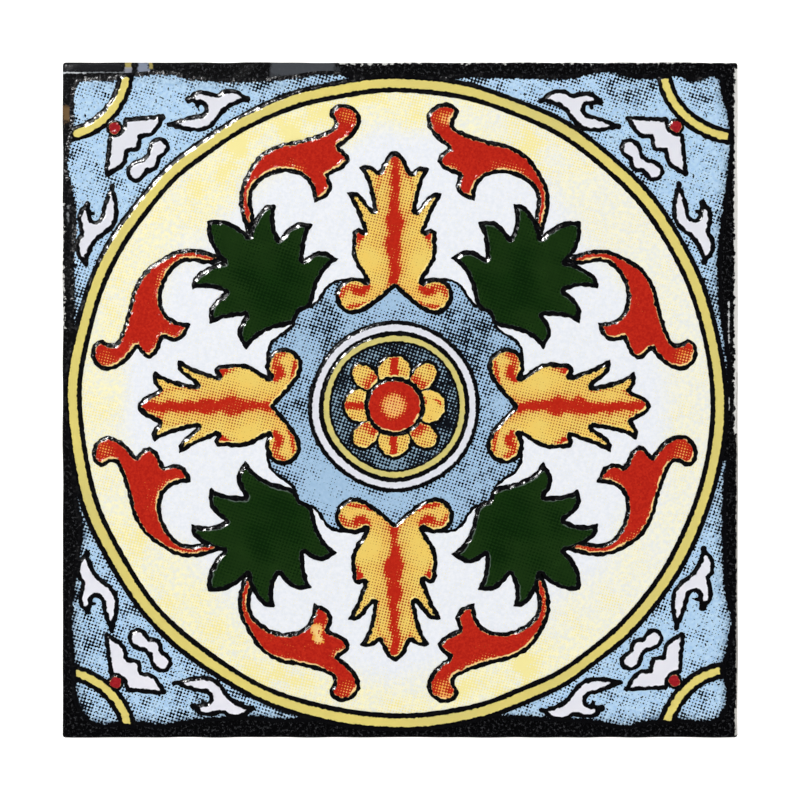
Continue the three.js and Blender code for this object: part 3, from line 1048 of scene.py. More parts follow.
# Blue scalloped field behind the leaves and palmettes: half of one scallop, from a
# leaf's curl to the diagonal, and where the black screen is darker (+) or paler (-)
centreField = {
    "half": [
        (0, 18.5), (6.4, 18.9), (8.6, 18.7), (10, 17.8), (11.1, 16.1), (12.1, 14.95),
        (13.4, 16), (16.5, 16.5),
    ],
    "hole": 12.2,      # the rosette's rings cover its inner edge
    "tone": 0.22,
    "tones": [
        (11, 8.5, 4.5, 0.38), (7, 12, 3, 0.2), (15, -6, 3.2, 0.3), (11, -12, 3.5, 0.16),
        (5.5, -16, 3, -0.16), (0, -14.5, 3, -0.1), (-10, -12.5, 5, -0.26), (-16.5, -11, 2, 0.2),
        (-14, 0, 2.6, 0.16), (-11, 11, 3.2, 0.34), (-16, 10.5, 1.8, -0.1), (0, 14.5, 4, -0.12),
    ],
}


def makeField():
    half = centreField["half"]
    scallop = half + [(b, a) for a, b in reversed(half[1:-1])]
    outline = []
    for turn in range(4):
        cos, sin = quarterTurn(turn)
        # A scallop runs clockwise, from a leaf to the next one on
        outline = [(x * cos - y * sin, x * sin + y * cos) for x, y in scallop] + outline
    outline = smoothOutline(outline)
    grid = gridAround(outline, 0.2, 0.8)
    hole = np.hypot(grid["x"], grid["y"]) - centreField["hole"]
    inside = np.minimum(depthInside(outline, grid), hole)
    part = shapePart(grid, inside, (0, 0.28, 0.48, 0.62, 0.9), fill=0.8)
    part = setPart(part, **printPlace["medallion"])
    x, y = part["points"].T
    tone = centreField["tone"] + 0.06 * ripple(x, y, 3, 65)
    tone = tone + 0.16 * np.exp(-np.maximum(part["edge"] - 0.6, 0) / 0.6)
    tone = addSpots(tone, x, y, centreField["tones"])
    part["tone"] = tone
    part["shade"] = ramp(tone, 0.3, 0.7) * 0.7
    part["z"] = plateHeight(part, heights["field"], 0.02)
    part["material"] = fieldBlueGlaze
    makePiece("centreField", [part])


# Acanthus leaf, upright: its right half from the tip down to the base, its red vein,
# and the strokes of red beside it
leaf = {
    "half": [
        (0, 37.9), (0.85, 37.5), (1.6, 36.5), (2.1, 35.4), (2.4, 34.9), (3.2, 35.5),
        (4.2, 35.7), (5.25, 35.4), (4.45, 34.2), (3.75, 32.3), (3.1, 29.1), (3.8, 29.9),
        (4.7, 31.1), (5.6, 31.75), (7, 31.75), (6.4, 30.5), (5.7, 29.2), (5, 27.3),
        (4.45, 26), (5.3, 26.4), (6.1, 25.9), (6.2, 24.4), (6.3, 23.1), (6.1, 21.8),
        (5.5, 20.5), (4.7, 19.3), (4.25, 18.4), (5, 18.9), (6.2, 19), (7.6, 18.5),
        (8.5, 17.4), (8.7, 16), (8, 14.5), (6.5, 13.6), (4.6, 13.9), (2.2, 15.5),
        (0, 17.5),
    ],
    "vein": 0.5,      # half width
    "knots": [(27.3, 0.6, 1.2), (24, 0.75, 1.3)],      # height, added half width, reach
    # Where the curls turn over and along the hem: strength, path, width
    "folds": [
        (1.2, [(4.1, 17.5), (4.8, 16.8), (5.6, 17)], 0.72),
        (0.8, [(5.6, 17.5), (7.1, 17.5), (7.9, 16.4)], 0.7),
        (0.95, [(3.5, 15.3), (4.6, 14.9), (6.6, 14.7)], 0.36),
    ],
    "notch": [(5, 25.5), (5.5, 23.6)],
    "fork": [(2.3, 34), (2.7, 31.5), (2.3, 29)],
}


def makeLeaves():
    outline = smoothOutline(closeHalf(leaf["half"], lambda p: (-p[0], p[1])))
    grid = gridAround(outline, 0.15, 0.6)
    drawn = shapePart(grid, depthInside(outline, grid), pool["levels"], fill=0.42)
    for turn, side in enumerate("NWSE"):
        part = setPart(drawn, turn, **printPlace["medallion"])
        x, y = part["points"].T
        u, v = part["drawn"].T
        out = np.abs(u)
        across = np.abs(u + 0.07 * np.sin(v * 1.1 + turn))
        # A red vein with two knots, dots thinning out beside it, and bare bellies
        vein = leaf["vein"]
        for height, wider, reach in leaf["knots"]:
            vein = vein + wider * np.exp(-((v - height) / reach) ** 2)
        vein = vein + 0.13 * ripple(x, y, 0.9, 66) + 0.1 * ripple(x, y, 2.4, 74)
        solid = 1.05 * (1 - ramp(across, vein - 0.1, vein + 0.5)) * ramp(v, 16.9, 18.3)
        beside = 0.15 + 0.36 * np.exp(-np.maximum(across - vein, 0) / 1.3)
        beside = beside + 0.14 * np.exp(-np.maximum(part["edge"] - 0.7, 0) / 0.4)
        beside = beside - 0.3 * spot(out, v, 3.7, 21.2, 1.7) - 0.12 * spot(out, v, 2.2, 32.4, 1)
        folds = [red * stroke(out, v, path, width) for red, path, width in leaf["folds"]]
        notch = 1.1 * spot(out, v, 5.2, 25.4, 0.7) + 0.6 * stroke(out, v, leaf["notch"], 0.6)
        fork = 0.95 * spot(out, v, 1.8, 34.9, 0.6) + 0.5 * stroke(out, v, leaf["fork"], 0.5)
        tip = 0.8 * ramp(v, 35.9, 37)
        part["tone"] = np.maximum.reduce([solid, beside, *folds, notch, fork, tip])
        part["tone"] = part["tone"] + 0.07 * ripple(x, y, 2.2, 67)
        part["shade"] = np.exp(-np.maximum(across - vein, 0) / 1.2) + 0.5 * ramp(19 - v, 0, 2)
        part["z"] = poolHeight(part)
        part["material"] = amberGlaze
        makePiece("leaf" + side, [part])


# Palmette: its half from the tip, on the diagonal, down to the base
palmette = {
    "half": [
        (27.4, 27.4), (25.9, 27.5), (24.4, 27.2), (22.4, 26.1), (21.5, 25.2), (21.3, 26.3),
        (20.1, 28.6), (18.9, 29.8), (17.4, 29.95), (17.7, 28.4), (17.6, 26.6), (17, 25),
        (15.7, 26.5), (14.3, 27.3), (12.1, 27.1), (12.8, 25.8), (13.2, 24.2), (13.4, 22),
        (11.9, 22.9), (10.5, 23.1), (8.25, 21.9), (10, 20.4), (11.2, 18.2), (12.1, 14.9),
        (12.7, 14.3), (13.7, 13.9),
    ],
    "dark": (17.4, 17.4),      # the middle of its darker heart
}


def makePalmettes():
    outline = smoothOutline(closeHalf(palmette["half"], lambda p: (p[1], p[0])))
    grid = gridAround(outline, 0.15, 0.6)
    inside = depthInside(outline, grid)
    drawn = shapePart(grid, inside, pool["levels"], fill=0.6)
    heartX, heartY = palmette["dark"]
    for turn, side in enumerate(corners):
        part = setPart(drawn, turn, **printPlace["medallion"])
        x, y = part["points"].T
        u, v = part["drawn"].T
        middle = np.hypot(u - heartX, v - heartY) + 1.8 * ripple(x, y, 2.6, 69)
        part["tone"] = 0.24 + 0.28 * (1 - ramp(middle, 1, 7.5)) + 0.12 * ripple(x, y, 2.4, 68)
        part["shade"] = ramp(middle, 1, 8.5)
        part["z"] = poolHeight(part)
        part["material"] = copperGreenGlaze
        makePiece("palmette" + side, [part])
    return inside, grid


# Scroll that springs from the palmette and curls against the outer ring, with the
# strokes where its red is open, and the middle and core of the healed chip
scroll = {
    "outline": [
        (25.0, 21.9), (26.6, 22.3), (29.2, 22.95), (32, 22.75), (34.4, 21.6), (36.8, 19.9),
        (38.5, 17.1),
        (39.25, 13.9), (40.4, 10.3), (41.3, 8.9), (42.1, 8.9), (43.3, 9.5), (44.4, 8.9),
        (44.85, 7.6), (44.5, 6.2), (43.4, 5.1), (42.2, 4.85), (40.6, 5.4), (39.2, 6.5),
        (38, 8), (37, 6.8), (36.1, 6.45), (35, 7.3), (33.9, 9.6), (32.2, 9.15),
        (30.8, 9.95), (29.9, 11.9), (31.8, 12.2), (33.2, 12.9), (34.1, 14.3), (34.3, 16.5),
        (33.5, 18.8), (31.8, 20.7), (30, 21.1), (28.1, 20.8), (25.6, 20.9),
    ],
    "stem": [(27, 21.8), (29.5, 22.1), (32.3, 21.7)],
    "belly": [(36.6, 12), (36.2, 15.5), (34.6, 18.8)],
    "chipped": (2, True),      # the turn and flip of the one scroll that has the chip
    "chip": [(-12.4, -34, 0.95), (-12.1, -35.4, 0.75)],
    "chipCore": (-12.1, -34.3, 0.5),
}


def makeScrolls(palmetteDepth, palmetteGrid):
    outline = smoothOutline(scroll["outline"])
    grid = gridAround(outline, 0.15, 0.6)
    inside = depthInside(outline, grid)
    # The stem stops at the palmette's line
    spots = np.column_stack([grid["x"].ravel(), grid["y"].ravel()])
    over = readGrid(palmetteGrid, palmetteDepth, spots).reshape(inside.shape)
    onGrid = (grid["x"] < palmetteGrid["xs"][-1]) & (grid["y"] < palmetteGrid["ys"][-1])
    inside = np.where(onGrid, np.minimum(inside, 0.3 - over), inside)
    drawn = shapePart(grid, inside, pool["levels"], fill=0.42)
    for turn, side in enumerate(corners):
        for flip, hand in ((False, "A"), (True, "B")):
            part = setPart(drawn, turn, flip, **printPlace["scrolls"])
            x, y = part["points"].T
            u, v = part["drawn"].T
            away = part["away"] / np.maximum(np.hypot(*part["away"].T), 1e-6)[:, None]
            facingShare = ramp(towardsBareSide(away), 0.1, 0.7)
            rim = np.exp(-np.maximum(part["edge"] - 0.62, 0) / 0.6)
            patchy = np.clip(0.75 + 0.5 * ripple(x, y, 3.5, 75), 0.2, 1.3)
            gap = 0.5 * spot(u, v, 42.7, 7, 1.25) + 0.5 * rim * facingShare * patchy
            gap = gap + 0.2 * stroke(u, v, scroll["stem"], 0.4) * (1 - 0.4 * facingShare)
            gap = gap + 0.1 * stroke(u, v, scroll["belly"], 0.8)
            tone = 1.15 - gap * (1 + 0.35 * ripple(x, y, 4, 70))
            shade = 0.3 * facingShare
            if (turn, flip) == scroll["chipped"]:
                # A chip in the red glaze, healed over with yellow and cream
                chip = np.maximum.reduce([spot(x, y, *place) for place in scroll["chip"]])
                core = spot(x, y, *scroll["chipCore"])
                tone = np.where(chip > 0.34, 0.95 * ramp(core, 0.6, 0.85), tone)
                shade = np.maximum(shade, 0.9 * ramp(chip, 0.4, 0.7))
            part["tone"] = tone
            part["shade"] = shade
            part["z"] = poolHeight(part)
            part["material"] = seleniumRedGlaze
            makePiece("scroll" + side + hand, [part])


# Rosette. Its rings, disc and button have radii from the outside in, with the distance
# from the foot at each.
rosette = {
    "whiteRing": (
        [12.72, 12.52, 12.42, 12.32, 12.18, 11.9, 11.6, 11.35, 11.15, 11.05, 10.9, 10.82],
        [0, 0.26, 0.38, 0.5, 0.62, 0.86, 1.0, 0.86, 0.62, 0.5, 0.34, 0.28],
    ),
    "yellowRing": (
        [10.82, 10.74, 10.66, 10.55, 10.36, 10.1, 9.86, 9.66, 9.55, 9.45],
        [0.28, 0.38, 0.5, 0.62, 0.82, 0.95, 0.82, 0.62, 0.5, 0.34],
    ),
    "disc": (
        [9.45] + np.linspace(9.3, 0.3, 24).tolist() + [0],
        [0.34] + np.linspace(0.62, 5, 25).tolist(),
    ),
    "button": (
        [4.2, 4.05, 3.98, 3.9, 3.78, 3.55, 3.2, 2.8, 2.4, 2, 1.6, 1.2, 0.8, 0.4, 0],
        [0, 0.26, 0.36, 0.48, 0.62, 0.82, 1.1, 1.5, 1.9, 2.3, 2.7, 3.1, 3.5, 3.9, 4.3],
    ),
    "discTone": 0.79,
    "discTones": [
        (-8.4, -2, 2.6, -0.34), (-6.5, 4.2, 2, -0.14), (6.2, 5, 2.4, -0.22), (7.2, -0.8, 1.6, -0.16),
        (-1, -9.4, 3.4, -0.34), (5.6, -6.4, 1.6, -0.1), (0, 7.4, 2, 0.12), (8, -4, 2, 0.12),
    ],
    # Petals by half length, half width and distance from the middle
    "roundPetal": (2.35, 2.35, 5.1),
    "narrowPetal": (2.2, 1.65, 6.05),
    "petalsFrom": 3.95,      # the button covers them inside this radius
    "buttonTop": (-0.95, -0.85),      # the middle of its paler top
}


def makeRosetteGround():
    # Two rings and a navy disc
    parts = []
    for kind, glaze in (
        ("whiteRing", tinLilacGlaze), ("yellowRing", antimonyYellowGlaze), ("disc", discBlueGlaze),
    ):
        part = setPart(turnedPart(*rosette[kind], 240), waver=0.6, **printPlace["rosette"])
        x, y = part["points"].T
        if kind == "disc":
            part["z"] = np.full(len(x), heights["brim"] + 0.004)
            tone = rosette["discTone"] + 0.06 * ripple(x, y, 3, 71)
            part["tone"] = addSpots(tone, x, y, rosette["discTones"])
            part["shade"] = 0.5
        else:
            part["z"] = poolHeight(part, lift=0.8 * (1 - 0.5 * ramp(x - y, 4, 12)))
            part["shade"] = 0.9 if kind == "yellowRing" else 0.85
        part["material"] = glaze
        parts.append(part)
    makePiece("rosetteGround", parts)


def makePetals():
    petals = []
    for index in range(8):
        isRound = index % 2 == 0
        angle = index * math.pi / 4
        halfLength, halfWidth, middle = rosette["roundPetal" if isRound else "narrowPetal"]
        turns = np.linspace(0, 2 * math.pi, 60, endpoint=False)
        oval = np.column_stack([middle + halfLength * np.cos(turns), halfWidth * np.sin(turns)])
        spin = np.array([[math.cos(angle), -math.sin(angle)], [math.sin(angle), math.cos(angle)]])
        oval = oval @ spin.T
        grid = gridAround(oval, 0.12, 1.2)
        hole = np.hypot(grid["x"], grid["y"]) - rosette["petalsFrom"]
        inside = np.minimum(depthInside(oval, grid) + 0.45, hole)
        levels = (0, 0.15, 0.3, 0.45, 0.65, 0.9)
        part = shapePart(grid, inside, levels, spacing=0.2, fill=0.35, seed=index)
        along = part["drawn"] @ spin[:, 0]
        across = part["drawn"] @ spin[:, 1]
        part = setPart(part, **printPlace["rosette"])
        x, y = part["points"].T
        if index == 0:
            # The right petal has stray lines instead of a vein
            tone = 0.03 + 1.2 * stroke(x, y, [(3.4, 0.3), (3.7, -0.4)], 0.27)
            tone = tone + 1.1 * stroke(x, y, [(5.2, 0.1), (5.8, -0.3), (6, -0.8)], 0.2)
            tone = tone + 0.9 * spot(x, y, 4.5, -2.7, 0.3)
        elif isRound:
            vein = np.maximum(1.1 - ramp(np.abs(across), 0.35, 0.75), 0.3)
            tone = vein * (1 - ramp(along, 7.2, 7.6))
        else:
            tone = addSpots(0.36, along, across, [(4.7, 0.5, 0.8, 0.65), (5, -0.9, 0.6, 0.4)])
        part["edge"] = part["edge"] + 0.17
        part["tone"] = tone + 0.1 * ripple(x, y, 1.4, 72)
        part["shade"] = 0.5 * np.exp(-(along - 4) / 2)
        part["z"] = poolHeight(part, brim=heights["brim"] + 0.008, lift=0.9)
        part["material"] = amberGlaze
        petals.append(part)
    makePiece("rosettePetals", petals)


def makeButton():
    part = setPart(turnedPart(*rosette["button"], 96), **printPlace["rosette"])
    x, y = part["points"].T
    topX, topY = rosette["buttonTop"]
    fromTop = np.hypot(x - topX, y - topY)
    part["tone"] = 0.34 + 0.8 * ramp(fromTop, 1.3, 2.4) + 0.04 * ripple(x, y, 1.5, 76)
    part["shade"] = 0.7 * spot(x, y, -0.8, -0.8, 1.7)
    part["z"] = poolHeight(part, brim=heights["brim"] + 0.012, lift=0.93)
    part["material"] = seleniumRedGlaze
    makePiece("rosetteButton", [part])


# Corner motifs, by the distances inward from the point where four tiles meet. The
# winged flower and the cloud are halves. All are drawn at the edge of their white, and
# at some tips their black runs on past it, by path and half width.
motifs = {
    "wingedHalf": [
        (10.15, 10.15), (10.55, 9.6), (10.7, 9), (10.8, 8.5), (12.8, 8.35), (15.6, 8.05),
        (15.1, 8.9), (14.35, 9.85), (13.6, 10.15), (12.8, 10.2), (12.35, 10.5), (12.2, 11.2),
        (12.1, 12.1),
    ],
    "cloudHalf": [
        (14, 14), (14.45, 13.45), (14.7, 12.4), (15, 11.85), (15.5, 11.5), (16.1, 11.5),
        (16.6, 11.95), (16.65, 12.5), (16.3, 13), (15.75, 13.4), (15.35, 13.8), (15.3, 14.4),
        (15.05, 15.05),
    ],
    "curlLeaf": [
        (28.3, 4.85), (27.6, 4.35), (26.6, 4.2), (25.7, 4.35), (25, 4.9), (23.6, 4.7),
        (22.3, 4.5), (21.4, 4.75), (21.35, 5.15), (22.8, 5.4), (23.35, 6.2), (23.25, 7.1),
        (22.5, 7.8), (20.7, 8.2), (18.8, 8.85), (21, 9.2), (22.8, 9), (23.8, 8.3),
        (25.3, 6.45), (26.5, 5.6),
    ],
    "wingedInk": [([(15.6, 8.05), (16.1, 7.9)], 0.42), ([(8.05, 15.6), (7.7, 16.1)], 0.42)],
    "curlInk": [
        ([(28.3, 4.9), (29.2, 5.1)], 0.45), ([(21.4, 5), (20.4, 5.3)], 0.5),
        ([(21.8, 5.6), (21.7, 6.2)], 0.3), ([(18.8, 8.85), (17.6, 8.9)], 0.4),
    ],
    "bead": (
        [1.22, 1.07, 1, 0.93, 0.85, 0.7, 0.45, 0],
        [0, 0.26, 0.38, 0.5, 0.62, 0.8, 1.05, 1.5],
    ),
    "beadPlace": 9.05,      # in from both sides
    "ringRadius": 10.75,
    "ringHalfWidth": 0.52,
}

# The four corners: where each quarter ring is centred and how far it runs, the shifts of
# the flower, the cloud, the leaf, its mirror image and the bead, how much painted shade
# greys the white, the ragged inner edge of the black border, and where the blue is darker (+) or paler
# (-) as x, y, radius, amount
corners = {
    "NE": {
        "turn": 0,
        "centre": (49.75, 49.6),
        "ringEnd": (48.7, 47.9),
        "shifts": [(0.1, 0), (0, 0), (0.3, -0.2), (0.3, 0), (0.1, -0.2)],
        "dull": 0.5,
        "border": [
            (6, 47.2), (9, 47.5), (13, 47.6), (19, 47.4), (25, 47.4), (28, 48.1), (30.5, 48.5),
            (33.5, 47.7), (38, 47.4), (41, 47.8), (43.3, 46.9), (46, 47.8), (47, 47.4),
            (47.5, 45), (48.5, 41.5), (48.7, 38), (47.9, 30.5), (46.9, 22), (47.1, 14),
            (48.2, 6), (48.3, 1),
        ],
        "base": 0.03,
        "tones": [
            (34, 45.5, 3.6, 0.46), (28, 46, 2.5, 0.2), (44.6, 45, 1.9, 0.42), (37, 33, 2.2, 0.42),
            (42.6, 28.6, 1.2, 0.5), (46.8, 27, 2.4, 0.28), (47.2, 14, 6, 0.3), (47.3, 4, 3, 0.3),
            (22, 43.2, 2, 0.25), (12, 47, 3, 0.25), (45, 37, 1.4, 0.14), (42, 22.5, 2, 0.2),
            (33, 37, 1.2, 0.1),
        ],
    },
    "NW": {
        "turn": 1,
        "centre": (-51.0, 49.65),
        "ringEnd": (48.6, 48.0),
        "shifts": [(-0.2, -0.1), (-0.4, 0), (-0.5, -0.3), (-0.8, 0), (-0.4, -0.4)],
        "dull": 0.75,
        "border": [
            (-48.1, 9), (-48.1, 13), (-48.1, 21.5), (-47.8, 27), (-48.4, 31), (-49.1, 34.5),
            (-48.3, 40.4), (-48.1, 45), (-47.4, 46.9), (-43.2, 47.1), (-40.8, 47.6), (-36, 48),
            (-33.5, 47.9), (-31, 47.3), (-25, 46.9), (-17, 47.3), (-12, 48), (-9, 47.9), (-6, 47.2),
        ],
        "base": 0.03,
        "tones": [
            (-43.2, 32.6, 2.4, 0.42), (-38.2, 30.2, 1.7, 0.42), (-33, 34, 1.8, 0.25),
            (-20, 45.8, 3.2, 0.3), (-43.6, 45, 1.5, 0.36), (-39.3, 45, 1.1, 0.36),
            (-47.5, 36.3, 1.7, 0.3), (-47.7, 15, 5, 0.28), (-28, 39.5, 1.6, 0.2),
            (-12, 47.4, 2.5, 0.3), (-44.5, 26, 1.5, 0.2), (-35.5, 40.5, 1, 0.12),
        ],
    },
    "SW": {
        "turn": 2,
        "centre": (-50.9, -50.7),
        "ringEnd": (48.3, 48.3),
        "shifts": [(-0.1, -0.3), (0, -0.3), (0, 0), (-0.5, -1.1), (-0.4, -0.1)],
        "dull": 0.0,
        "border": [
            (-9, -46.4), (-13, -46.9), (-18.5, -47), (-22.5, -46.6), (-31.5, -47.3), (-35, -47.9),
            (-39.9, -47.4), (-45, -47.6), (-47.4, -45), (-48, -41), (-48.1, -38), (-48.5, -32),
            (-47.6, -25), (-46.9, -19), (-47.5, -15.5), (-48.2, -10),
        ],
        "base": 0.27,
        "tones": [
            (-45.5, -33, 4, 0.04), (-46, -35.6, 1.2, 0.4), (-30, -46, 6, 0.1),
            (-45, -45, 2.4, 0.12), (-46.6, -18, 3, 0.06), (-40.5, -31, 2, 0.06),
            (-33, -39.5, 3, -0.18), (-38, -37.5, 1.5, 0.1), (-36.5, -45, 2, -0.1),
            (-42, -26, 2.5, -0.05),
        ],
    },
    "SE": {
        "turn": 3,
        "centre": (49.5, -50.7),
        "ringEnd": (47.7, 47.7),
        "shifts": [(0.2, 0), (0.3, -0.3), (0.4, -0.5), (0.8, -0.2), (0.1, 0.1)],
        "dull": 0.3,
        "border": [
            (48.1, -9), (47.6, -14.5), (47.6, -21), (47.8, -27.5), (48.8, -32.5), (48.1, -37),
            (47.4, -39.5), (48.2, -43), (47.7, -45.8), (46.3, -47.2), (41.3, -47.1),
            (37, -47.3), (33, -48), (28.5, -47.2), (20.5, -46.8), (13.5, -46.4), (9, -46.2),
        ],
        "base": 0.1,
        "tones": [
            (42, -46, 4, 0.16), (30, -44, 2.4, 0.12), (46.8, -17, 4, 0.18), (38, -30, 3.4, 0.24),
            (44.5, -30, 2.5, -0.12), (45, -35.5, 2, -0.02), (24, -44.5, 3, 0.18),
            (45, -44, 2.2, 0.16), (33, -37, 2, 0.1), (40, -37.5, 1.6, 0.1),
        ],
    },
}


def makeSpandrel(side, facts):
    # Blue, ragged against the border and tucked under the outer ring
    cos, sin = quarterTurn(facts["turn"])
    inward = (5 * (cos - sin), 5 * (sin + cos))
    outline = smoothOutline(facts["border"] + [inward], cornerTurn=70)
    grid = gridAround(outline, 0.2, 1)
    ringX, ringY = printPlace["ring"]["shift"]
    reach = np.hypot(grid["x"] - ringX, (grid["y"] - ringY) / printPlace["ring"]["scale"][1])
    border = depthInside(outline, grid) + lineEdge
    inside = np.minimum(border, reach - outerRing["covers"])
    part = shapePart(grid, inside, (0, 0.3, 0.62, 0.95), spacing=0.3, fill=0.8)
    x, y = part["points"].T
    fade = np.exp(-np.maximum(part["edge"] - lineEdge, 0) / 0.5)
    tone = facts["base"] + 0.06 * ripple(x, y, 3, 73)
    tone = addSpots(tone + 0.34 * fade, x, y, facts["tones"])
    part["tone"] = tone
    # The blue greys a little where its screen is dense and along the border at the upper left, and
    # darkens towards the border at the right, the bottom and the lower left
    bank = [(-45, 46.6), (-39, 47.4), (-34, 47.5), (-31, 46.9), (-22, 46.3), (-12, 46.9)]
    soft = np.maximum.reduce([ramp(x, 42, 47), ramp(-y, 42, 46), ramp(-x, 43, 47) * ramp(-y, 0, 12)])
    part["shade"] = 0.14 * ramp(tone, 0.2, 0.6) + 0.34 * stroke(x, y, bank, 0.75) + soft * fade
    part["z"] = plateHeight(part, heights["ground"], 0.09)
    part["material"] = cobaltBlueGlaze
    makePiece("spandrel" + side, [part])


def makeQuarterRing(side, facts):
    # Yellow, about the point where four tiles meet
    cos, sin = quarterTurn(facts["turn"])
    x, y = facts["centre"]
    lowX = min(x, x - 14 * (cos - sin))
    lowY = min(y, y - 14 * (sin + cos))
    grid = makeGrid((lowX - 1, lowY - 1), (lowX + 15, lowY + 15), 0.15)
    reach = np.hypot(grid["x"] - x, grid["y"] - y)
    endX, endY = facts["ringEnd"]
    radius = motifs["ringRadius"]
    halfWidth = motifs["ringHalfWidth"]
    inside = np.minimum.reduce([
        radius + halfWidth + lineEdge - reach, reach - radius + halfWidth + lineEdge,
        endX + 0.3 - np.abs(grid["x"]), endY + 0.3 - np.abs(grid["y"]),
    ])
    part = setPart(shapePart(grid, inside, pool["levels"][:-1], fill=0.5))
    part["z"] = poolHeight(part)
    part["shade"] = 0.1
    part["material"] = antimonyYellowGlaze
    makePiece("quarterRing" + side, [part])


def makeMotifs(side, facts):
    # Winged flower, cloud, two curled leaves and a bead, each white inside its line
    cos, sin = quarterTurn(facts["turn"])
    parts = []
    shapes = [
        (closeHalf(motifs["wingedHalf"], lambda p: (p[1], p[0])), motifs["wingedInk"], False),
        (closeHalf(motifs["cloudHalf"], lambda p: (p[1], p[0])), [], False),
        (motifs["curlLeaf"], motifs["curlInk"], False),
        (motifs["curlLeaf"], motifs["curlInk"], True),
    ]
    for number, (points, inks, flip) in enumerate(shapes):
        outline = smoothOutline(points, cornerTurn=50)
        grid = gridAround(outline, 0.14, 2)
        inside = depthInside(outline, grid) + lineEdge
        for path, reach in inks:
            inside = np.maximum(inside, reach - farFrom(grid["x"], grid["y"], path))
        part = shapePart(grid, inside, pool["levels"][:-1], spacing=0.22, fill=0.5)
        shift = np.add(facts["centre"], facts["shifts"][number])
        part = setPart(part, facts["turn"] + 2, flip, shift)
        part["z"] = poolHeight(part, brim=heights["brim"] - 0.012 + 0.004 * number)
        # painted shade: the white greyed per corner, most at the upper left
        part["shade"] = facts["dull"]
        part["material"] = tinLilacGlaze
        parts.append(part)
    along = motifs["beadPlace"]
    x, y = np.add(facts["centre"], facts["shifts"][-1])
    bead = turnedPart(*motifs["bead"], 40)
    bead = setPart(bead, shift=(x - along * (cos - sin), y - along * (sin + cos)))
    bead["z"] = poolHeight(bead, brim=heights["brim"] + 0.012, lift=0.9)
    bead["tone"] = 1.2
    bead["material"] = beadRedGlaze
    parts.append(bead)
    makePiece("cornerMotifs" + side, parts)


makeGround()
makeOuterRing()
makeField()
print("grounds and ring laid")
makeLeaves()
makeScrolls(*makePalmettes())
print("leaves, palmettes and scrolls laid")
makeRosetteGround()
makePetals()
makeButton()
for side, facts in corners.items():
    makeSpandrel(side, facts)
    makeQuarterRing(side, facts)
    makeMotifs(side, facts)
print("rosette and corners laid")

# A pale light table below, a soft room, one window at the upper left, and wide fill
# lights too soft for the glaze to mirror
stage = {
    "tableReach": 3.0,      # half side in m
    "tableDrop": 0.05,      # mm below the tile's back, so that the two don't share a plane
    "opening": 48,      # half side in mm of the opening that shows the back from below
    "glow": 0.9,
    # Azimuth, degrees from the zenith, distance and size in m, watts, mirrored or not
    "lights": {
        "window": (132, 33, 0.7, 0.22, 3.4, True),
        "card": (-45, 66, 0.6, 0.56, 2.6, False),
        "fillRight": (20, 64, 1.2, 0.7, 1.9, False),
        "fillLeft": (200, 64, 1.2, 0.7, 1.9, False),
        "fillTop": (80, 64, 1.2, 0.7, 1.9, False),
        "fillBelow": (250, 64, 1.2, 0.7, 1.9, False),
    },
    "lens": 200,
    "sensor": 36,
    "view": 118.3,      # mm at the tile's face that the photograph's 800 pixels span
    "viewMiddle": -0.03,      # mm along X, where the photograph's middle falls
}


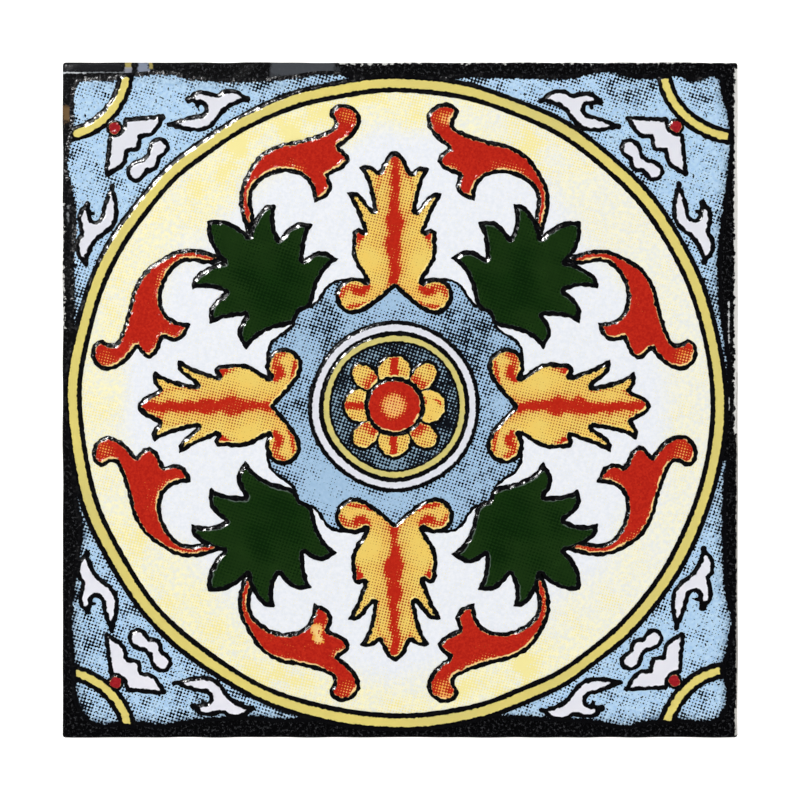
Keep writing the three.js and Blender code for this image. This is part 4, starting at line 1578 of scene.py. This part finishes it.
def makeTable():
    # A square ring, open under the tile, which hides the opening
    mesh = bpy.data.meshes.new("lightTable")
    quarters = [(-1, -1), (1, -1), (1, 1), (-1, 1)]
    level = -stage["tableDrop"] * mm
    rims = [
        (x * reach, y * reach, level)
        for reach in (stage["tableReach"], stage["opening"] * mm)
        for x, y in quarters
    ]
    mesh.from_pydata(rims, [], [(k, (k + 1) % 4, (k + 1) % 4 + 4, k + 4) for k in range(4)])
    table = bpy.data.objects.new("lightTable", mesh)
    bpy.context.scene.collection.objects.link(table)
    material, tree, shader, place = startMaterial("opalAcrylic")
    shader.inputs["Base Color"].default_value = toLinear("#bcbcbc")
    shader.inputs["Roughness"].default_value = 0.6
    shader.inputs["Specular IOR Level"].default_value = 0.2
    shader.inputs["Emission Color"].default_value = (1, 1, 1, 1)
    shader.inputs["Emission Strength"].default_value = stage["glow"]
    mesh.materials.append(material)
    table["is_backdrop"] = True


def makeRoom():
    # A pale backdrop round a dim room, so that level glaze mirrors nothing bright, and
    # light from below for the tile's back
    world = bpy.data.worlds.new("softRoom")
    bpy.context.scene.world = world
    world.use_nodes = True
    tree = world.node_tree
    sky = tree.nodes["Background"]
    sky.inputs[0].default_value = (1, 1, 1, 1)
    way = addNode(tree, "TexCoord", out=0)
    split = tree.nodes.new("ShaderNodeSeparateXYZ")
    tree.links.new(way, split.inputs[0])
    up = split.outputs[2]
    room = addNode(tree, "MapRange", {0: up, 1: 0.75, 2: 0.97, 3: 0.011, 4: 0.0015})
    backdrop = addNode(tree, "MapRange", {0: up, 1: 0.1, 2: 0.26, 3: 0.55, 4: 0.0})
    under = addNode(tree, "MapRange", {0: up, 1: 0.0, 2: -0.3, 3: 0.0, 4: 0.75})
    sides = addNode(tree, "Math", {0: room, 1: backdrop}, operation="ADD")
    whole = addNode(tree, "Math", {0: sides, 1: under}, operation="ADD")
    tree.links.new(whole, sky.inputs[1])


def hangLight(name, azimuth, fromZenith, distance, size, power, mirrored):
    light = bpy.data.lights.new(name, "AREA")
    light.shape = "DISK"
    light.size = size
    light.energy = power
    lamp = bpy.data.objects.new(name, light)
    bpy.context.scene.collection.objects.link(lamp)
    a = math.radians(azimuth)
    t = math.radians(fromZenith)
    lamp.location = (
        distance * math.sin(t) * math.cos(a), distance * math.sin(t) * math.sin(a),
        distance * math.cos(t),
    )
    lamp.rotation_euler = (0, t, a)
    lamp.visible_glossy = mirrored


def setCamera():
    scene = bpy.context.scene
    camera = bpy.data.cameras.new("camera")
    camera.lens = stage["lens"]
    camera.sensor_width = stage["sensor"]
    eye = bpy.data.objects.new("camera", camera)
    scene.collection.objects.link(eye)
    distance = stage["view"] * camera.lens / camera.sensor_width
    eye.location = (stage["viewMiddle"] * mm, 0, (heights["ground"] + distance) * mm)
    scene.camera = eye
    scene.view_settings.view_transform = "Standard"


makeTable()
makeRoom()
for name, facts in stage["lights"].items():
    hangLight(name, *facts)
setCamera()
total = sum(len(p.vertices) - 2 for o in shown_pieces() if o.type == "MESH" for p in o.data.polygons)
print("stage set,", total, "triangles")
